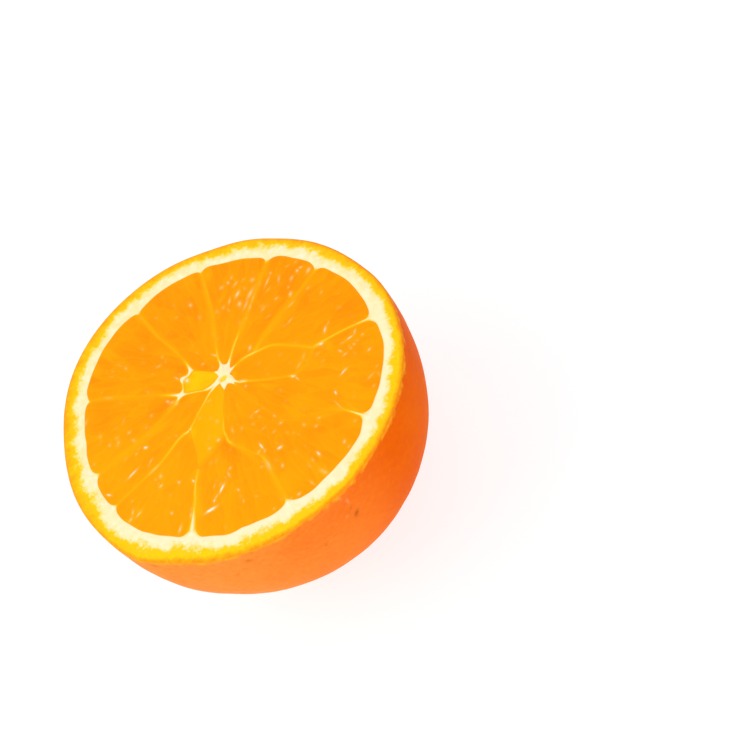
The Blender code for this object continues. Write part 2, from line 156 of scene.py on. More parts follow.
# How each membrane looks, from its start to its end: the share of the way, the half width and the
# brightness, from 0 for the pulp's own colour over yellow to 1 for cream.
LOOKS = {
    "a": ((0, 0.4, 0.7), (0.08, 0.45, 0.28), (0.8, 0.4, 0.25), (0.95, 0.35, 0.5), (1, 0.3, 0.75)),
    "b": ((0, 0.5, 0.7), (0.06, 0.5, 0.28), (0.5, 0.45, 0.25), (0.62, 0.4, 0.4), (0.69, 0.25, 0.78),
          (1, 0.25, 0.95)),
    "c": ((0, 0.4, 0.6), (0.05, 0.35, 0.35), (0.7, 0.32, 0.36), (0.78, 0.25, 0.7), (0.88, 0.22, 0.85),
          (1, 0.3, 1)),
    "d": ((0, 0.4, 0.6), (0.06, 0.3, 0.35), (0.85, 0.27, 0.35), (0.93, 0.28, 0.85), (1, 0.35, 1)),
    "e": ((0, 0.4, 0.5), (0.06, 0.4, 0.22), (0.75, 0.4, 0.22), (0.84, 0.35, 0.6), (0.93, 0.35, 0.9),
          (1, 0.4, 1)),
    "f": ((0, 0.4, 0.8), (0.04, 0.45, 0.28), (0.8, 0.5, 0.28), (0.9, 0.5, 0.5), (0.96, 0.4, 0.85),
          (1, 0.4, 1)),
    "g": ((0, 0.35, 0.7), (0.04, 0.3, 0.42), (0.42, 0.3, 0.42), (0.5, 0.3, 0.65), (0.6, 0.32, 0.5),
          (0.9, 0.3, 0.7), (1, 0.35, 0.9)),
    "h": ((0, 0.85, 1), (0.14, 0.6, 1), (0.26, 0.45, 0.92), (0.36, 0.4, 0.75), (0.5, 0.4, 0.65),
          (0.7, 0.28, 0.78), (0.85, 0.25, 0.75), (1, 0.4, 0.5)),
    "i": ((0, 0.4, 0.9), (0.04, 0.35, 0.5), (0.12, 0.38, 0.38), (0.45, 0.34, 0.42), (0.53, 0.32, 0.62),
          (0.6, 0.32, 0.35), (0.85, 0.32, 0.35), (0.93, 0.3, 0.75), (1, 0.3, 0.7)),
    "j": ((0, 0.5, 1), (0.04, 0.3, 1), (0.1, 0.25, 0.85), (0.13, 0.3, 0.55), (0.2, 0.6, 0.25),
          (0.4, 0.5, 0.12), (0.8, 0.4, 0.12), (0.93, 0.25, 0.35), (1, 0.3, 1)),
    "k": ((0, 0.5, 1), (0.12, 0.3, 0.95), (0.3, 0.25, 0.7), (0.75, 0.28, 0.7), (0.9, 0.35, 0.8),
          (1, 0.5, 0.6)),
    "east_core": ((0, 0.3, 0.85), (0.25, 0.28, 0.8), (0.45, 0.3, 0.5), (0.75, 0.3, 0.65), (1, 0.3, 1)),
    "east_side": ((0, 0.3, 0.8), (0.3, 0.3, 0.55), (0.6, 0.4, 0.4), (1, 0.4, 0.5)),
    "north_core": ((0, 0.3, 1), (0.07, 0.2, 0.4), (0.14, 0.2, 0), (0.9, 0.2, 0), (0.96, 0.3, 0.8),
          (1, 0.4, 1)),
    "north_west": ((0, 0.4, 1), (0.2, 0.3, 0.95), (0.4, 0.3, 1), (0.6, 0.25, 0.85), (0.85, 0.25, 0.85),
          (1, 0.4, 1)),
    "west_core": ((0, 0.4, 1), (0.1, 0.22, 0.9), (0.5, 0.22, 0.85), (0.6, 0.4, 1), (1, 0.4, 1)),
    "elbow_core": ((0, 0.4, 0.9), (0.08, 0.3, 0.7), (0.25, 0.25, 0.6), (0.45, 0.22, 0.8),
          (0.65, 0.25, 0.9), (1, 0.4, 1)),
    "kite_elbow": ((0, 0.3, 0.1), (1, 0.3, 0.1)),
    "kite_foot": ((0, 0.3, 0), (1, 0.3, 0)),
    "kite_core": ((0, 0.3, 0.7), (0.2, 0.22, 0.7), (0.3, 0.25, 0.5), (0.4, 0.2, 0.1), (0.85, 0.2, 0),
          (0.93, 0.3, 0.7), (1, 0.4, 1)),
    "tip_side": ((0, 0.3, 0.3), (1, 0.3, 0.3)),
    "tip_core": ((0, 0.3, 0.85), (0.08, 0.25, 0.4), (0.3, 0.3, 0.45), (0.6, 0.3, 0.5), (0.66, 0.28, 0.95),
          (0.8, 0.25, 0.85), (1, 0.4, 1)),
}

# How wide the white wedge at the rind is on each membrane that reaches it.
WEDGE = {
    "a": 0.3, "b": 0.5, "c": 0.2, "d": 0.12, "e": 0.08, "f": 0.4,
    "g": 0.25, "h": 0.65, "i": 0.55, "j": 0.8, "k": 0.6,
}

# Small steps in the inner edge of the rind: degrees, height, spread in degrees.
RIND_STEPS = (
    (222.6, 0.6, 2.2), (242.8, 0.35, 0.9), (133.6, 0.4, 1.5), (65, -0.3, 2.5), (20.5, 0.4, 1.6),
    (290, 0.2, 3),
)
# Fine waves of that edge: height, how many in a full turn, and shift.
RIND_WAVES = ((0.1, 11, 1), (0.07, 23, 0), (0.04, 41, 2))

# Corners where torn white tissue clings: place, width, reach.
TUFTS = (
    (WEST, 0.2, 0.7),
    (NORTH, 0.15, 0.6),
    ((-5.0, 11.2), 0.2, 0.6),
    (LOBE_TIP, 0.05, 0.5),
    ((2.9, 5.8), 0.5, 1.2),
    ((1.1, 3.0), 0.5, 0.9),
    ((2.7, 3.0), 0.3, 0.9),
    ((1.8, 2.4), 0.35, 0.8),
    ((-1.0, 4.2), 0.05, 0.8),
)

# Each segment: the two rind angles that it lies between, by membrane, and its way round inside.
# A minus sign means that the membrane is followed backwards.
SEGMENTS = (
    ("a", "b", "b -east_core -a"),
    ("b", "c", "c -b"),
    ("c", "d", "d north_core -c"),
    ("d", "e", "e -north_west -d"),
    ("e", "f", "f -e"),
    ("f", "g", "g elbow_core -west_core -f"),
    ("g", "h", "h kite_elbow -g"),
    ("h", "i", "i -kite_foot -h"),
    ("i", "j", "j -kite_core -i"),
    ("j", "k", "k -tip_side tip_core -j"),
    ("k", "a", "a east_side -k"),
)

# The lobes round the core, where the cut runs along a membrane: way round, depth, slope, and the
# membranes where it fades into the pulp.
LOBES = (
    ("north_core -west_core -north_west", 0.35, 1.4, ()),
    ("elbow_core -kite_core -kite_foot kite_elbow", 0.2, 2.0, ("kite_foot",)),
    ("east_side -tip_side tip_core -east_core", 0.05, 2.0, ("tip_side", "east_side")),
)
LOBE_FADE = 1.1

# Membrane widths: in the middle, more where it is cream, at the rind and at the core.
WALL_HALF_WIDTH = 0.05
CREAM_FROM = 0.55
WALL_AT_RIND = (0.5, 1.3)
WALL_REACH = 1.5
WALL_AT_CORE = (0.42, 1.9)

# Relief of the cut face.
GROOVE_DEPTH = 0.03
PULP_CROWN = 0.15
PULP_SLOPE = 2.5
PITH_HOLLOW = np.array((1.55, 4.05))
PITH_HOLLOW_FORM = (0.85, 1.35)
PITH_HOLLOW_RADIUS = 0.85
PITH_HOLLOW_DEPTH = 0.18
RIM_ROUNDING = 0.3
RIND_RISE = 0.06
RIND_RISE_WIDTH = 0.8
# How high a membrane stands, and what is added where it is white.
RIDGE_RISE = (0.03, 0.08)
CORE_RISE = 0.12
CORE_WIDTH = 2.2
WHITE_CORE_WIDTH = 2.6
WHITE_AT_RIND = (0.6, 1.6)
FLECK_RISE = 0.05
EDGE_DROP = 0.01
# Uneven places of each kind of surface: length, seed, height.
SPONGE_WAVES = ((0.55, 1.0, 0.02), (1.7, 3.0, 0.035))
PULP_WAVES = ((2.8, 4.0, 0.03), (0.6, 6.0, 0.006))
LOBE_WAVES = ((1.8, 8.0, 0.05),)

# Juice sacs: spindles that point at the core.
SAC_LENGTH = 6.5
SAC_WIDTH = 1.7
SAC_BULGE = 0.035
SAC_ROUNDING = 0.45
SAC_SIZE = (0.5, 1.4)
SAC_STRETCH = (0.8, 1.25)
SAC_TILT = 0.22
SAC_SHIFT = 0.012
SEAM_WIDTH = 0.16
HALO_WIDTH = 0.2

# Torn sac walls, pale in themselves and painted paler still as a glint, a painted highlight: x, y, length,
# width, degrees, brightness.
TORN_WALLS_AND_GLINTS = (
    (14, 16.6, 1.3, 0.9, 60, 0.45), (15, 19, 1.7, 0.75, 30, 0.58), (19.3, 19.4, 1, 0.9, 0, 0.4),
    (14.9, 15.4, 2.6, 0.5, 33, 0.42), (17, 16.9, 2.8, 0.75, 27, 0.46), (16.8, 15.5, 2.6, 0.3, 38, 0.4),
    (15.2, 14.2, 1.5, 0.5, 42, 0.4), (13.4, 23.2, 0.9, 0.8, 0, 0.35), (15.1, 23, 0.9, 0.6, 80, 0.42),
    (16.3, 23.5, 0.9, 0.45, 45, 0.4), (16.1, 21.5, 1.4, 0.55, 10, 0.35), (17.9, 21, 0.6, 0.5, 0, 0.2),
    (9.5, 19, 0.8, 0.8, 0, 0.2), (11, 18.7, 0.8, 0.6, 40, 0.3), (12.8, 18.9, 1.5, 0.5, 48, 0.4),
    (16.9, 19, 0.9, 0.5, 90, 0.2), (11.5, 17.2, 1, 0.4, 95, 0.2), (6.2, 25, 1.1, 0.8, 80, 0.4),
    (2.4, 24.9, 0.7, 0.5, 0, 0.2), (21.3, 16.4, 2.5, 0.4, 32, 0.45), (23, 17.6, 0.7, 0.6, 60, 0.35),
    (23.5, 14.9, 1.7, 0.55, 50, 0.35), (20.5, 14.6, 1.3, 0.35, 20, 0.22), (25.5, 12.8, 1.3, 0.7, 35, 0.4),
    (27.4, 13.4, 0.9, 0.6, 70, 0.5), (28.4, 13.5, 0.9, 0.5, -20, 0.5), (28.4, 15.6, 0.8, 0.35, 10, 0.3),
    (26.6, 16.1, 0.9, 0.35, -20, 0.22), (29.2, 11.6, 1.5, 0.8, 30, 0.45), (20.4, 11.3, 0.9, 0.6, 0, 0.35),
    (23.8, 11.5, 0.7, 0.5, 45, 0.3), (23.2, 9.8, 1.2, 0.7, 48, 0.48), (17, 11.5, 1.3, 0.5, 15, 0.3),
    (16.8, 9, 1.3, 0.4, 0, 0.18), (9.7, 5.8, 1.2, 0.6, 42, 0.5), (21.9, 7.6, 1.8, 0.35, 8, 0.38),
    (26.7, 8, 0.8, 0.5, 0, 0.3), (28.1, 4.8, 0.9, 0.45, 20, 0.3), (19.5, 4.4, 1.7, 0.35, 15, 0.35),
    (23.6, -3.4, 1.5, 0.55, 45, 0.6), (25, -2.6, 1.1, 0.35, 40, 0.25), (21.1, -5.5, 1.1, 0.7, -20, 0.8),
    (26.3, -9.2, 1.8, 0.4, -5, 0.6), (27.8, -8.8, 1.3, 0.4, 42, 0.5), (24.5, -9, 1, 0.4, -5, 0.28),
    (23, -10.2, 1, 0.45, 105, 0.5), (23.3, -11.7, 1.2, 0.45, 0, 0.4), (25, -11.5, 0.6, 0.5, 0, 0.3),
    (26, -11.2, 0.7, 0.5, 80, 0.4), (27, -11, 0.6, 0.5, 0, 0.25), (28.6, -10.7, 0.6, 0.5, 0, 0.4),
    (25, -10.7, 0.6, 0.4, 30, 0.22), (12.6, -7.3, 1, 0.6, 150, 0.7), (12.9, -8.4, 1.4, 0.3, 100, 0.55),
    (14.9, -6, 1.6, 0.5, 25, 0.25), (16.8, -5, 1.4, 0.5, 40, 0.22), (20.8, -14.9, 1.8, 0.5, 12, 0.65),
    (27.6, -14.8, 1, 0.5, 8, 0.5), (16.8, -17.7, 1.1, 0.55, 78, 0.6), (24.2, -20.2, 1.7, 0.45, 10, 0.35),
    (23.4, -22.6, 0.8, 0.5, 20, 0.3), (26.5, -19.3, 0.8, 0.4, 10, 0.25), (25.7, -21, 1.2, 0.35, 80, 0.2),
    (15.6, -20.4, 2.6, 0.3, 92, 0.3), (4.5, -12, 0.8, 0.5, 90, 0.4), (4.6, -14.4, 0.9, 0.6, 0, 0.4),
    (2.4, -15.1, 1, 0.45, 10, 0.25), (1.2, -12.7, 1.4, 0.4, 5, 0.2), (2.4, -8.2, 1.1, 0.5, -10, 0.5),
    (1, -8.2, 0.7, 0.5, 0, 0.25), (0.2, -10.1, 0.7, 0.5, 120, 0.25), (1.2, -19.2, 1.2, 0.7, -10, 0.7),
    (7.8, -18.7, 0.8, 0.5, 80, 0.4), (9.5, -21, 0.7, 0.6, 0, 0.4), (11, -19.8, 0.8, 0.45, -30, 0.4),
    (5.2, -18.5, 0.6, 0.4, 60, 0.15), (6.3, -26.7, 1.4, 0.6, 92, 0.6), (4.6, -27, 1.1, 0.45, 85, 0.3),
    (11.7, -28.6, 0.9, 0.6, 45, 0.5), (11.7, -30.2, 0.7, 0.5, 20, 0.3), (16, -26.3, 0.7, 0.5, 0, 0.3),
    (4.8, -31, 2, 0.8, 110, 0.32), (1.6, -31.2, 1.4, 0.5, 95, 0.28), (4, -1.2, 0.7, 0.6, 0, 0.35),
    (-17.2, -19.95, 2.5, 0.65, -10, 1), (-12.8, -17.6, 2.1, 0.5, 30, 0.95),
    (-14.8, -18.3, 1.5, 0.35, 22, 0.5), (-15.5, -18.7, 0.8, 0.5, 45, 0.6), (-10, -16, 1.4, 0.4, 80, 0.45),
    (-9, -15, 0.7, 0.6, 0, 0.4), (-10.9, -16, 0.5, 0.4, 60, 0.22), (-13.7, -15.9, 1.1, 0.35, 35, 0.25),
    (-10.5, -20.6, 0.7, 0.5, 100, 0.5), (-4, -19.9, 0.7, 0.5, 0, 0.3), (-11.1, -23.6, 0.9, 0.4, 65, 0.35),
    (-8.5, -24.8, 0.9, 0.4, 130, 0.2), (-1.4, -15.8, 1.6, 0.4, 88, 0.85), (-2.5, -16.5, 1, 0.4, 25, 0.4),
    (-1.5, -17.3, 0.7, 0.5, 40, 0.4), (-2.8, -20.6, 2.4, 0.8, 78, 0.42),
    (-0.7, -23.1, 0.9, 0.6, 70, 0.45), (-1.8, -31.2, 0.8, 0.6, 0, 0.5), (-3.5, -30.7, 0.5, 0.4, 0, 0.3),
    (-7.5, -30, 0.6, 0.5, 0, 0.3), (-24.4, -18.6, 1.7, 0.5, 38, 0.5), (-21, -17.6, 1.3, 0.5, 55, 0.4),
    (-20.2, -16.5, 1.1, 0.3, 50, 0.25), (-23.7, -14.1, 0.7, 0.6, 60, 0.5),
    (-29.7, -7.4, 1.5, 0.4, 50, 0.45), (-31, -8.5, 1.1, 0.45, 10, 0.5), (-29, -8.8, 1.6, 0.4, 15, 0.5),
    (-31.3, 0.1, 1.4, 0.5, 125, 0.6), (-24.9, 0.3, 2.7, 0.45, 8, 0.7), (-20.4, -0.2, 1.4, 0.4, 25, 0.35),
    (-19.5, 3.4, 1, 0.7, -45, 0.7), (-21.8, 3.7, 0.7, 0.5, 20, 0.3), (-20.8, -4.9, 1, 0.7, 50, 0.4),
    (-22, -4.8, 0.6, 0.5, 70, 0.25), (-22, -6.9, 0.9, 0.55, 0, 0.5), (-18.7, -9.2, 0.8, 0.6, 80, 0.5),
    (-28.4, -5.1, 0.6, 0.5, 0, 0.2), (-16.3, -11.3, 0.9, 0.45, 90, 0.65), (-7.2, -7.3, 0.8, 0.7, 0, 0.5),
    (-9.7, -7.4, 0.7, 0.6, 90, 0.4), (-3.8, -7.9, 1.2, 0.5, 75, 0.3), (-2.1, -9.1, 0.9, 0.5, 60, 0.25),
    (-5, -3.3, 0.9, 0.7, 80, 0.25), (-3.6, 2.1, 1, 0.4, 0, 0.25), (-13.2, 0.6, 0.6, 0.5, 120, 0.25),
    (-19, 20.1, 1.9, 0.5, -48, 0.25), (-12.4, 23.2, 0.9, 0.6, 100, 0.3), (-13, 25, 1.4, 0.4, 110, 0.16),
    (-7, 17.8, 1.3, 0.6, -15, 0.25), (-5.2, 19.1, 0.7, 0.5, 60, 0.25), (-5.2, 17.6, 0.9, 0.4, 60, 0.16),
    (-25.8, 18.9, 1.6, 0.5, 38, 0.3), (-24.9, 10.1, 0.8, 0.6, 60, 0.3), (-23.2, 9.1, 0.8, 0.6, 60, 0.35),
    (-20.2, 9.3, 0.8, 0.6, 20, 0.4), (-22.9, 10.3, 0.9, 0.6, 0, 0.2), (-14.5, 9, 0.8, 0.5, 0, 0.3),
    (-20.5, 7, 1.1, 0.6, 110, 0.3), (-16.8, 7.4, 0.8, 0.5, 10, 0.2), (-29.8, 8.9, 0.7, 0.5, 40, 0.2),
    (-12, 14.5, 0.9, 0.5, 100, 0.2), (-10.1, 9, 0.9, 0.6, 110, 0.5), (-9.6, 8.1, 1.2, 0.6, 0, 0.35),
    (-9, 7.2, 1, 0.7, 100, 0.4), (-19.6, 12.6, 1.3, 0.4, 40, 0.2), (-25.3, 13.5, 1.2, 0.6, 70, 0.2),
    (-5.7, 12.2, 1.2, 0.45, 110, 0.4), (0.3, 10.6, 0.7, 0.6, 0, 0.35), (-4.3, 10.1, 1.1, 0.8, 60, 0.7),
    (-4.9, 11, 1.2, 0.8, 100, 0.8), (-3.3, 11.1, 1.4, 0.6, 10, 0.7), (3.3, 10.4, 1.4, 0.35, 115, 0.5),
    (4.2, 0.5, 1.6, 0.5, -42, 0.5), (-20.9, -2.4, 2.6, 0.5, 5, 0.4),
)

# Broad paler or, with a minus sign, deeper places of the pulp: the same numbers.
HAZE = (
    (-13.5, 29.5, 4, 2.6, 100, 0.35), (-17.5, 28, 4, 1.6, 130, 0.3), (-12.3, 27.5, 5, 0.8, 105, 0.25),
    (13, 28.6, 3.4, 2, 70, 0.4), (10, 24.5, 9, 1.2, 72, 0.45), (6.6, 16.5, 9, 1.1, 70, 0.45),
    (22.5, 19, 6, 1.4, 35, 0.35), (13, 12.5, 7, 1, 40, 0.4), (-3.1, 27.5, 8, 1.1, 94, 0.4),
    (-2.5, 18.5, 9, 1, 92, 0.3), (-20, 5.4, 14, 2.2, -4, 0.25), (-15, 5.2, 5, 1.4, -10, 0.35),
    (-17.8, 18.5, 7, 1.4, -47, 0.25), (-24, 20, 5, 4, 60, 0.15), (-27, 12, 8, 5, 70, 0.12),
    (15, 6, 10, 1.6, 12, 0.35), (-18, -15.5, 6, 1.4, 53, 0.5), (-19.3, -18.2, 2.6, 1.6, 50, 0.5),
    (-14.6, -11, 4, 2, 40, 0.35), (-4.3, -14.5, 8, 1.2, 95, 0.3), (-3.7, -25.5, 8, 1.4, 82, 0.45),
    (22, -7.2, 3, 1.6, 80, 0.4), (16, -5.8, 5, 2, 30, 0.3), (17.4, -23.5, 5, 0.6, 95, 0.35),
    (12.5, -20.5, 5, 1, -30, 0.35), (6.5, -3.8, 6, 0.9, -48, 0.3), (4.6, -31, 3, 1.2, 100, 0.4),
    (-10.4, -1.6, 2.4, 1.4, 40, 0.8), (3.6, 3.2, 1.6, 1.2, 60, 0.7), (-7.2, -8.9, 2.6, 2.4, 0, -0.7),
    (-7, -11.5, 5, 2.4, 100, -0.35), (-8, 10.8, 5, 3, 120, -0.5), (-4, 14, 5, 2.6, 80, -0.5),
    (0.8, 8.5, 4, 2, 110, -0.5), (20.5, 23, 9, 4, 130, -0.35), (27, 14.2, 6, 2.2, 10, -0.4),
    (29, -3, 9, 5, 90, -0.3), (10.5, -22.5, 5, 1.4, -35, -0.3), (-12.5, 8.4, 6, 1.2, -12, -0.4),
    (6, 5.6, 3, 1.6, 20, -0.3), (-4, 7.8, 4.5, 3, 60, 0.6), (-20, -12, 30, 26, 0, 0.2),
    (-27, 0, 12, 24, 0, 0.15), (-10, -27, 22, 14, 0, 0.15), (20, -15, 26, 18, 30, 0.1),
    (6, 21, 40, 18, 0, -0.15), (22, 11, 18, 12, 0, -0.1),
)
# Loose faint painted glints over the pulp: how many, their length, and how far out they lie.
LOOSE_GLINTS = 130
LOOSE_GLINT_LENGTH = 0.7
LOOSE_GLINT_REACH = 31.5
SLIVER_FROM = 0.6
SLIVER_THICKNESS = 0.07

# Mesh spacing.
CURVE_STEP = 0.25
OUTLINE_STEP = 0.22
TIP_TURN = -0.85
TIP_GAP = 0.06
TINY = 1e-9
ROUNDING_PASSES = 14
SKIN_STEP = 0.36
RIND_STEP = 0.19
PULP_STEP = 0.2
LOBE_STEP = 0.2
SHARP_ANGLE = math.radians(50)
POCKET_DEPTH = 6.0
PIECE_DEPTH = 5.8
RIM_STEP = 0.25
RIM_ROWS = (0.005, 0.04, 0.11, 0.22, 0.37, 0.54)
GRID_FROM_RIM = 0.67
INNER_COUNT = 96
JITTER = 0.02

# The photograph's view: its width in pixels, where the middle of the cut shows, and the lens.
PHOTO_WIDTH = 750
FACE_PIXEL = (227.6, 395.4)
FOCAL_PIXELS = 3553
CAMERA_DISTANCE = 0.72
CAMERA_ELEVATION = math.radians(50)
CAMERA_ROLL = math.radians(40.27)
SENSOR_WIDTH = 36
FLOOR_HALF_SIDE = 2.5
WHITE_GROUND = 0.76
# The lamps, a metre away: name, direction to the lamp, size in metres, power.
LAMPS = (("key", (-1.0, 0.35, 1.1), 0.9, 4.6), ("fill_front", (-0.75, -1.0, 0.35), 0.7, 3.0))
SEED = 17


def bell(away, reach):
    """1 in the middle and less the farther away, 0 a few reaches out."""
    return np.exp(-((away / reach) ** 2))


def unit(value):
    """The value held between 0 and 1."""
    return np.clip(value, 0, 1)


def distance_to(place, points):
    return np.linalg.norm(points - np.array(place), axis=1)


def along_across(offset, degrees):
    """The parts of flat offsets along a direction and across it."""
    turn = math.radians(degrees)
    return offset @ (math.cos(turn), math.sin(turn)), offset @ (-math.sin(turn), math.cos(turn))


def bulged(degrees, base, bulges):
    """The base value with rounded bulges added where their angles say."""
    value = np.full(np.shape(degrees), base, float)
    for centre, height, spread in bulges:
        away = (np.asarray(degrees) - centre + 180) % 360 - 180
        value += height * bell(away, spread)
    return value


def rim_radius(degrees):
    return bulged(degrees, RIM_RADIUS, RIM_BULGES + RIM_WAVES)


def pulp_radius(degrees):
    """The inner edge of the rind, notched where each membrane meets it."""
    notches = tuple(
        (MEMBRANES[name][0], NOTCH_DEPTH * wedge**0.5, NOTCH_SPREAD)
        for name, wedge in WEDGE.items()
    )
    turn = np.radians(degrees)
    unevenness = sum(height * np.sin(count * turn + shift) for height, count, shift in RIND_WAVES)
    thickness = bulged(degrees, RIND_THICKNESS, RIND_BULGES + RIM_WAVES + notches + RIND_STEPS)
    return rim_radius(degrees) - thickness + unevenness


def polar(degrees, radius):
    turn = np.radians(degrees)
    return np.stack([radius * np.cos(turn), radius * np.sin(turn)], axis=-1)


def degrees_of(points):
    return np.degrees(np.arctan2(points[:, 1], points[:, 0]))


def smooth_curve(points, step):
    """Points about a step apart on the Catmull-Rom curve through the given ones."""
    points = np.asarray(points, float)
    padded = np.vstack([2 * points[0] - points[1], points, 2 * points[-1] - points[-2]])
    pieces = []
    for before, start, end, after in zip(padded, padded[1:], padded[2:], padded[3:]):
        count = max(1, round(np.linalg.norm(end - start) / step))
        t = (np.arange(count) / count)[:, None]
        pieces.append(
            start
            + 0.5 * t * (end - before)
            + t**2 * (before - 2.5 * start + 2 * end - 0.5 * after)
            + t**3 * (1.5 * (start - end) + 0.5 * (after - before))
        )
    return np.vstack(pieces + [points[-1:]])


def membrane_line(name, step=CURVE_STEP):
    path = MEMBRANES[name]
    if isinstance(path[0], float):
        start = polar(path[0], pulp_radius(path[0]))
        path = (tuple(start),) + path[1:]
    return smooth_curve(path, step)


def way_round(names):
    """The lines of the named membranes in turn, without the point that each pair shares."""
    lines = []
    for name in names.split():
        line = membrane_line(name.lstrip("-"))
        lines.append(line[::-1][:-1] if name.startswith("-") else line[:-1])
    return lines


def rind_arc(start, end):
    span = (end - start) % 360
    count = round(math.radians(span) * RIM_RADIUS / CURVE_STEP)
    degrees = start + span * np.arange(count) / count
    return polar(degrees, pulp_radius(degrees))


def length_along(line):
    return np.concatenate([[0], np.cumsum(np.linalg.norm(np.diff(line, axis=0), axis=1))])


def evenly(loop, step):
    """The closed loop again, with points a step apart."""
    ends = np.vstack([loop, loop[:1]])
    along = length_along(ends)
    count = max(6, round(along[-1] / step))
    places = np.arange(count) * along[-1] / count
    return np.stack([np.interp(places, along, ends[:, axis]) for axis in (0, 1)], axis=-1)


def turned_left(loop):
    """The loop in the anticlockwise order."""
    following = np.roll(loop, -1, axis=0)
    area = (loop[:, 0] * following[:, 1] - following[:, 0] * loop[:, 1]).sum()
    return loop if area > 0 else loop[::-1]


def inward_of(loop):
    along = np.roll(loop, -1, axis=0) - np.roll(loop, 1, axis=0)
    inward = np.stack([-along[:, 1], along[:, 0]], axis=-1)
    return inward / np.linalg.norm(inward, axis=1)[:, None]


def inset(loop, margin):
    """The loop moved inwards by the margin of each point, where nothing else of it comes nearer."""
    moved = loop + inward_of(loop) * margin[:, None]
    gaps = np.linalg.norm(moved[:, None] - loop[None], axis=2) - margin[None]
    return moved[gaps.min(axis=1) > -0.1 * CURVE_STEP]


def blunted(loop):
    """The loop without the points where it turns back on itself, in a tip too narrow to show."""
    while True:
        before = loop - np.roll(loop, 1, axis=0)
        after = np.roll(loop, -1, axis=0) - loop
        length = np.linalg.norm(before, axis=1)
        turn = (before * after).sum(axis=1) / np.maximum(length * np.roll(length, -1), TINY)
        dropped = (turn < TIP_TURN) | (length < TIP_GAP)
        if not dropped.any():
            return loop
        loop = loop[~dropped]


def rounded(loop):
    """The loop with its corners rounded, most of all at the rind."""
    loop = evenly(loop, CURVE_STEP)
    ease = np.clip(np.linalg.norm(loop, axis=1) / 30, 0.12, 0.6) ** 1.5
    for _ in range(ROUNDING_PASSES):
        middle = (np.roll(loop, 1, axis=0) + np.roll(loop, -1, axis=0)) / 2
        loop = loop + ease[:, None] * (middle - loop)
    return loop


def tree_of(points):
    tree = kdtree.KDTree(len(points))
    for number, point in enumerate(points):
        tree.insert((point[0], point[1], 0), number)
    tree.balance()
    return tree


def nearest(tree, points):
    """(distance, number) of what in the tree lies nearest to each point."""
    found = [tree.find((x, y, 0)) for x, y in points]
    return np.array([hit[2] for hit in found]), np.array([hit[1] for hit in found])


class Walls:
    """Every membrane as points, each with its look and the width of its wedge at the rind."""

    def __init__(self):
        lines = {name: membrane_line(name, 0.1) for name in MEMBRANES}
        looks = [self.look(name, line) for name, line in lines.items()]
        self.wide = np.concatenate([wide for wide, _ in looks])
        self.bright = np.concatenate([bright for _, bright in looks])
        wedges = [np.full(len(line), WEDGE.get(name, 0)) for name, line in lines.items()]
        self.wedge = np.concatenate(wedges)
        self.tree = tree_of(np.vstack(list(lines.values())))

    @staticmethod
    def look(name, line):
        """The half width and the brightness at each point of one membrane."""
        share, wide, bright = np.array(LOOKS[name], float).T
        along = length_along(line)
        along /= along[-1]
        return np.interp(along, share, wide), np.interp(along, share, bright)

    def vein(self, points):
        """How bright the nearest membrane shows at each point, from 0 to 1."""
        distance, number = nearest(self.tree, points)
        return self.bright[number] * np.exp(-0.7 * (distance / self.wide[number]) ** 2)

    def half_width(self, points):
        distance, number = nearest(self.tree, points)
        cream = unit((self.bright[number] - CREAM_FROM) / (1 - CREAM_FROM)) * bell(distance, WALL_REACH)
        from_rind = np.maximum(pulp_radius(degrees_of(points)) - np.linalg.norm(points, axis=1), 0)
        width = WALL_HALF_WIDTH + 0.5 * self.wide[number] * cream
        width += self.wedge[number] * WALL_AT_RIND[0] * np.exp(-from_rind / WALL_AT_RIND[1])
        for place, extra, reach in ((CORE, *WALL_AT_CORE), *TUFTS):
            width += extra * bell(distance_to(place, points), reach)
        return width


def cell_outlines(walls):
    """The outline on the cut of each segment, and of each lobe round the core."""
    loops = []
    for first, second, names in SEGMENTS:
        arc = rind_arc(MEMBRANES[first][0], MEMBRANES[second][0])
        loops.append(np.vstack([arc] + way_round(names)))
    for names, _, _, _ in LOBES:
        loops.append(np.vstack(way_round(names)))
    loops = [evenly(turned_left(loop), CURVE_STEP) for loop in loops]
    return [rounded(blunted(inset(loop, walls.half_width(loop)))) for loop in loops]


def inside(points, loop):
    """Whether each point lies inside the closed loop."""
    (x0, y0), (x1, y1) = loop.T, np.roll(loop, -1, axis=0).T
    rise = np.where(y1 == y0, 1e-12, y1 - y0)
    within = np.zeros(len(points), bool)
    near = ((points > loop.min(axis=0)) & (points < loop.max(axis=0))).all(axis=1)
    for part in np.array_split(np.nonzero(near)[0], 1 + near.sum() // 2000):
        x, y = points[part, 0][:, None], points[part, 1][:, None]
        crossed = ((y0 > y) != (y1 > y)) & (x < x0 + (y - y0) * (x1 - x0) / rise)
        within[part] = crossed.sum(axis=1) % 2 == 1
    return within


def triangular_grid(step, low, high):
    """Points of a triangular grid over the box from low to high."""
    across = np.arange(low[0], high[0], step)
    rows = np.arange(low[1], high[1], step * math.sqrt(3) / 2)
    shifted = [
        np.stack([across + (i % 2) * step / 2, np.full(len(across), y)], axis=-1)
        for i, y in enumerate(rows)
    ]
    return np.vstack(shifted)


def noise_at(points, length, seed=0.0):
    """Smooth noise between about -1 and 1 at flat or solid points, with features of this length."""
    if points.shape[1] == 2:
        return np.array([noise.noise((x / length, y / length, seed)) for x, y in points])
    return np.array([noise.noise((x / length + seed, y / length, z / length)) for x, y, z in points])


def noises_at(points, waves):
    return sum(noise_at(points, length, seed) * height for length, seed, height in waves)


def triangulated(points, edges):
    """Triangles over the flat points. Every point is kept, in its order."""
    plan = delaunay_2d_cdt([Vector(point) for point in points], list(edges), [], 0, 1e-5)
    if len(plan[0]) != len(points):
        raise RuntimeError("two points of the cut face fall together")
    order = np.array([source[0] for source in plan[3]])
    return order[np.array(plan[2])]


def loop_edges(count, start=0):
    return [(start + i, start + (i + 1) % count) for i in range(count)]


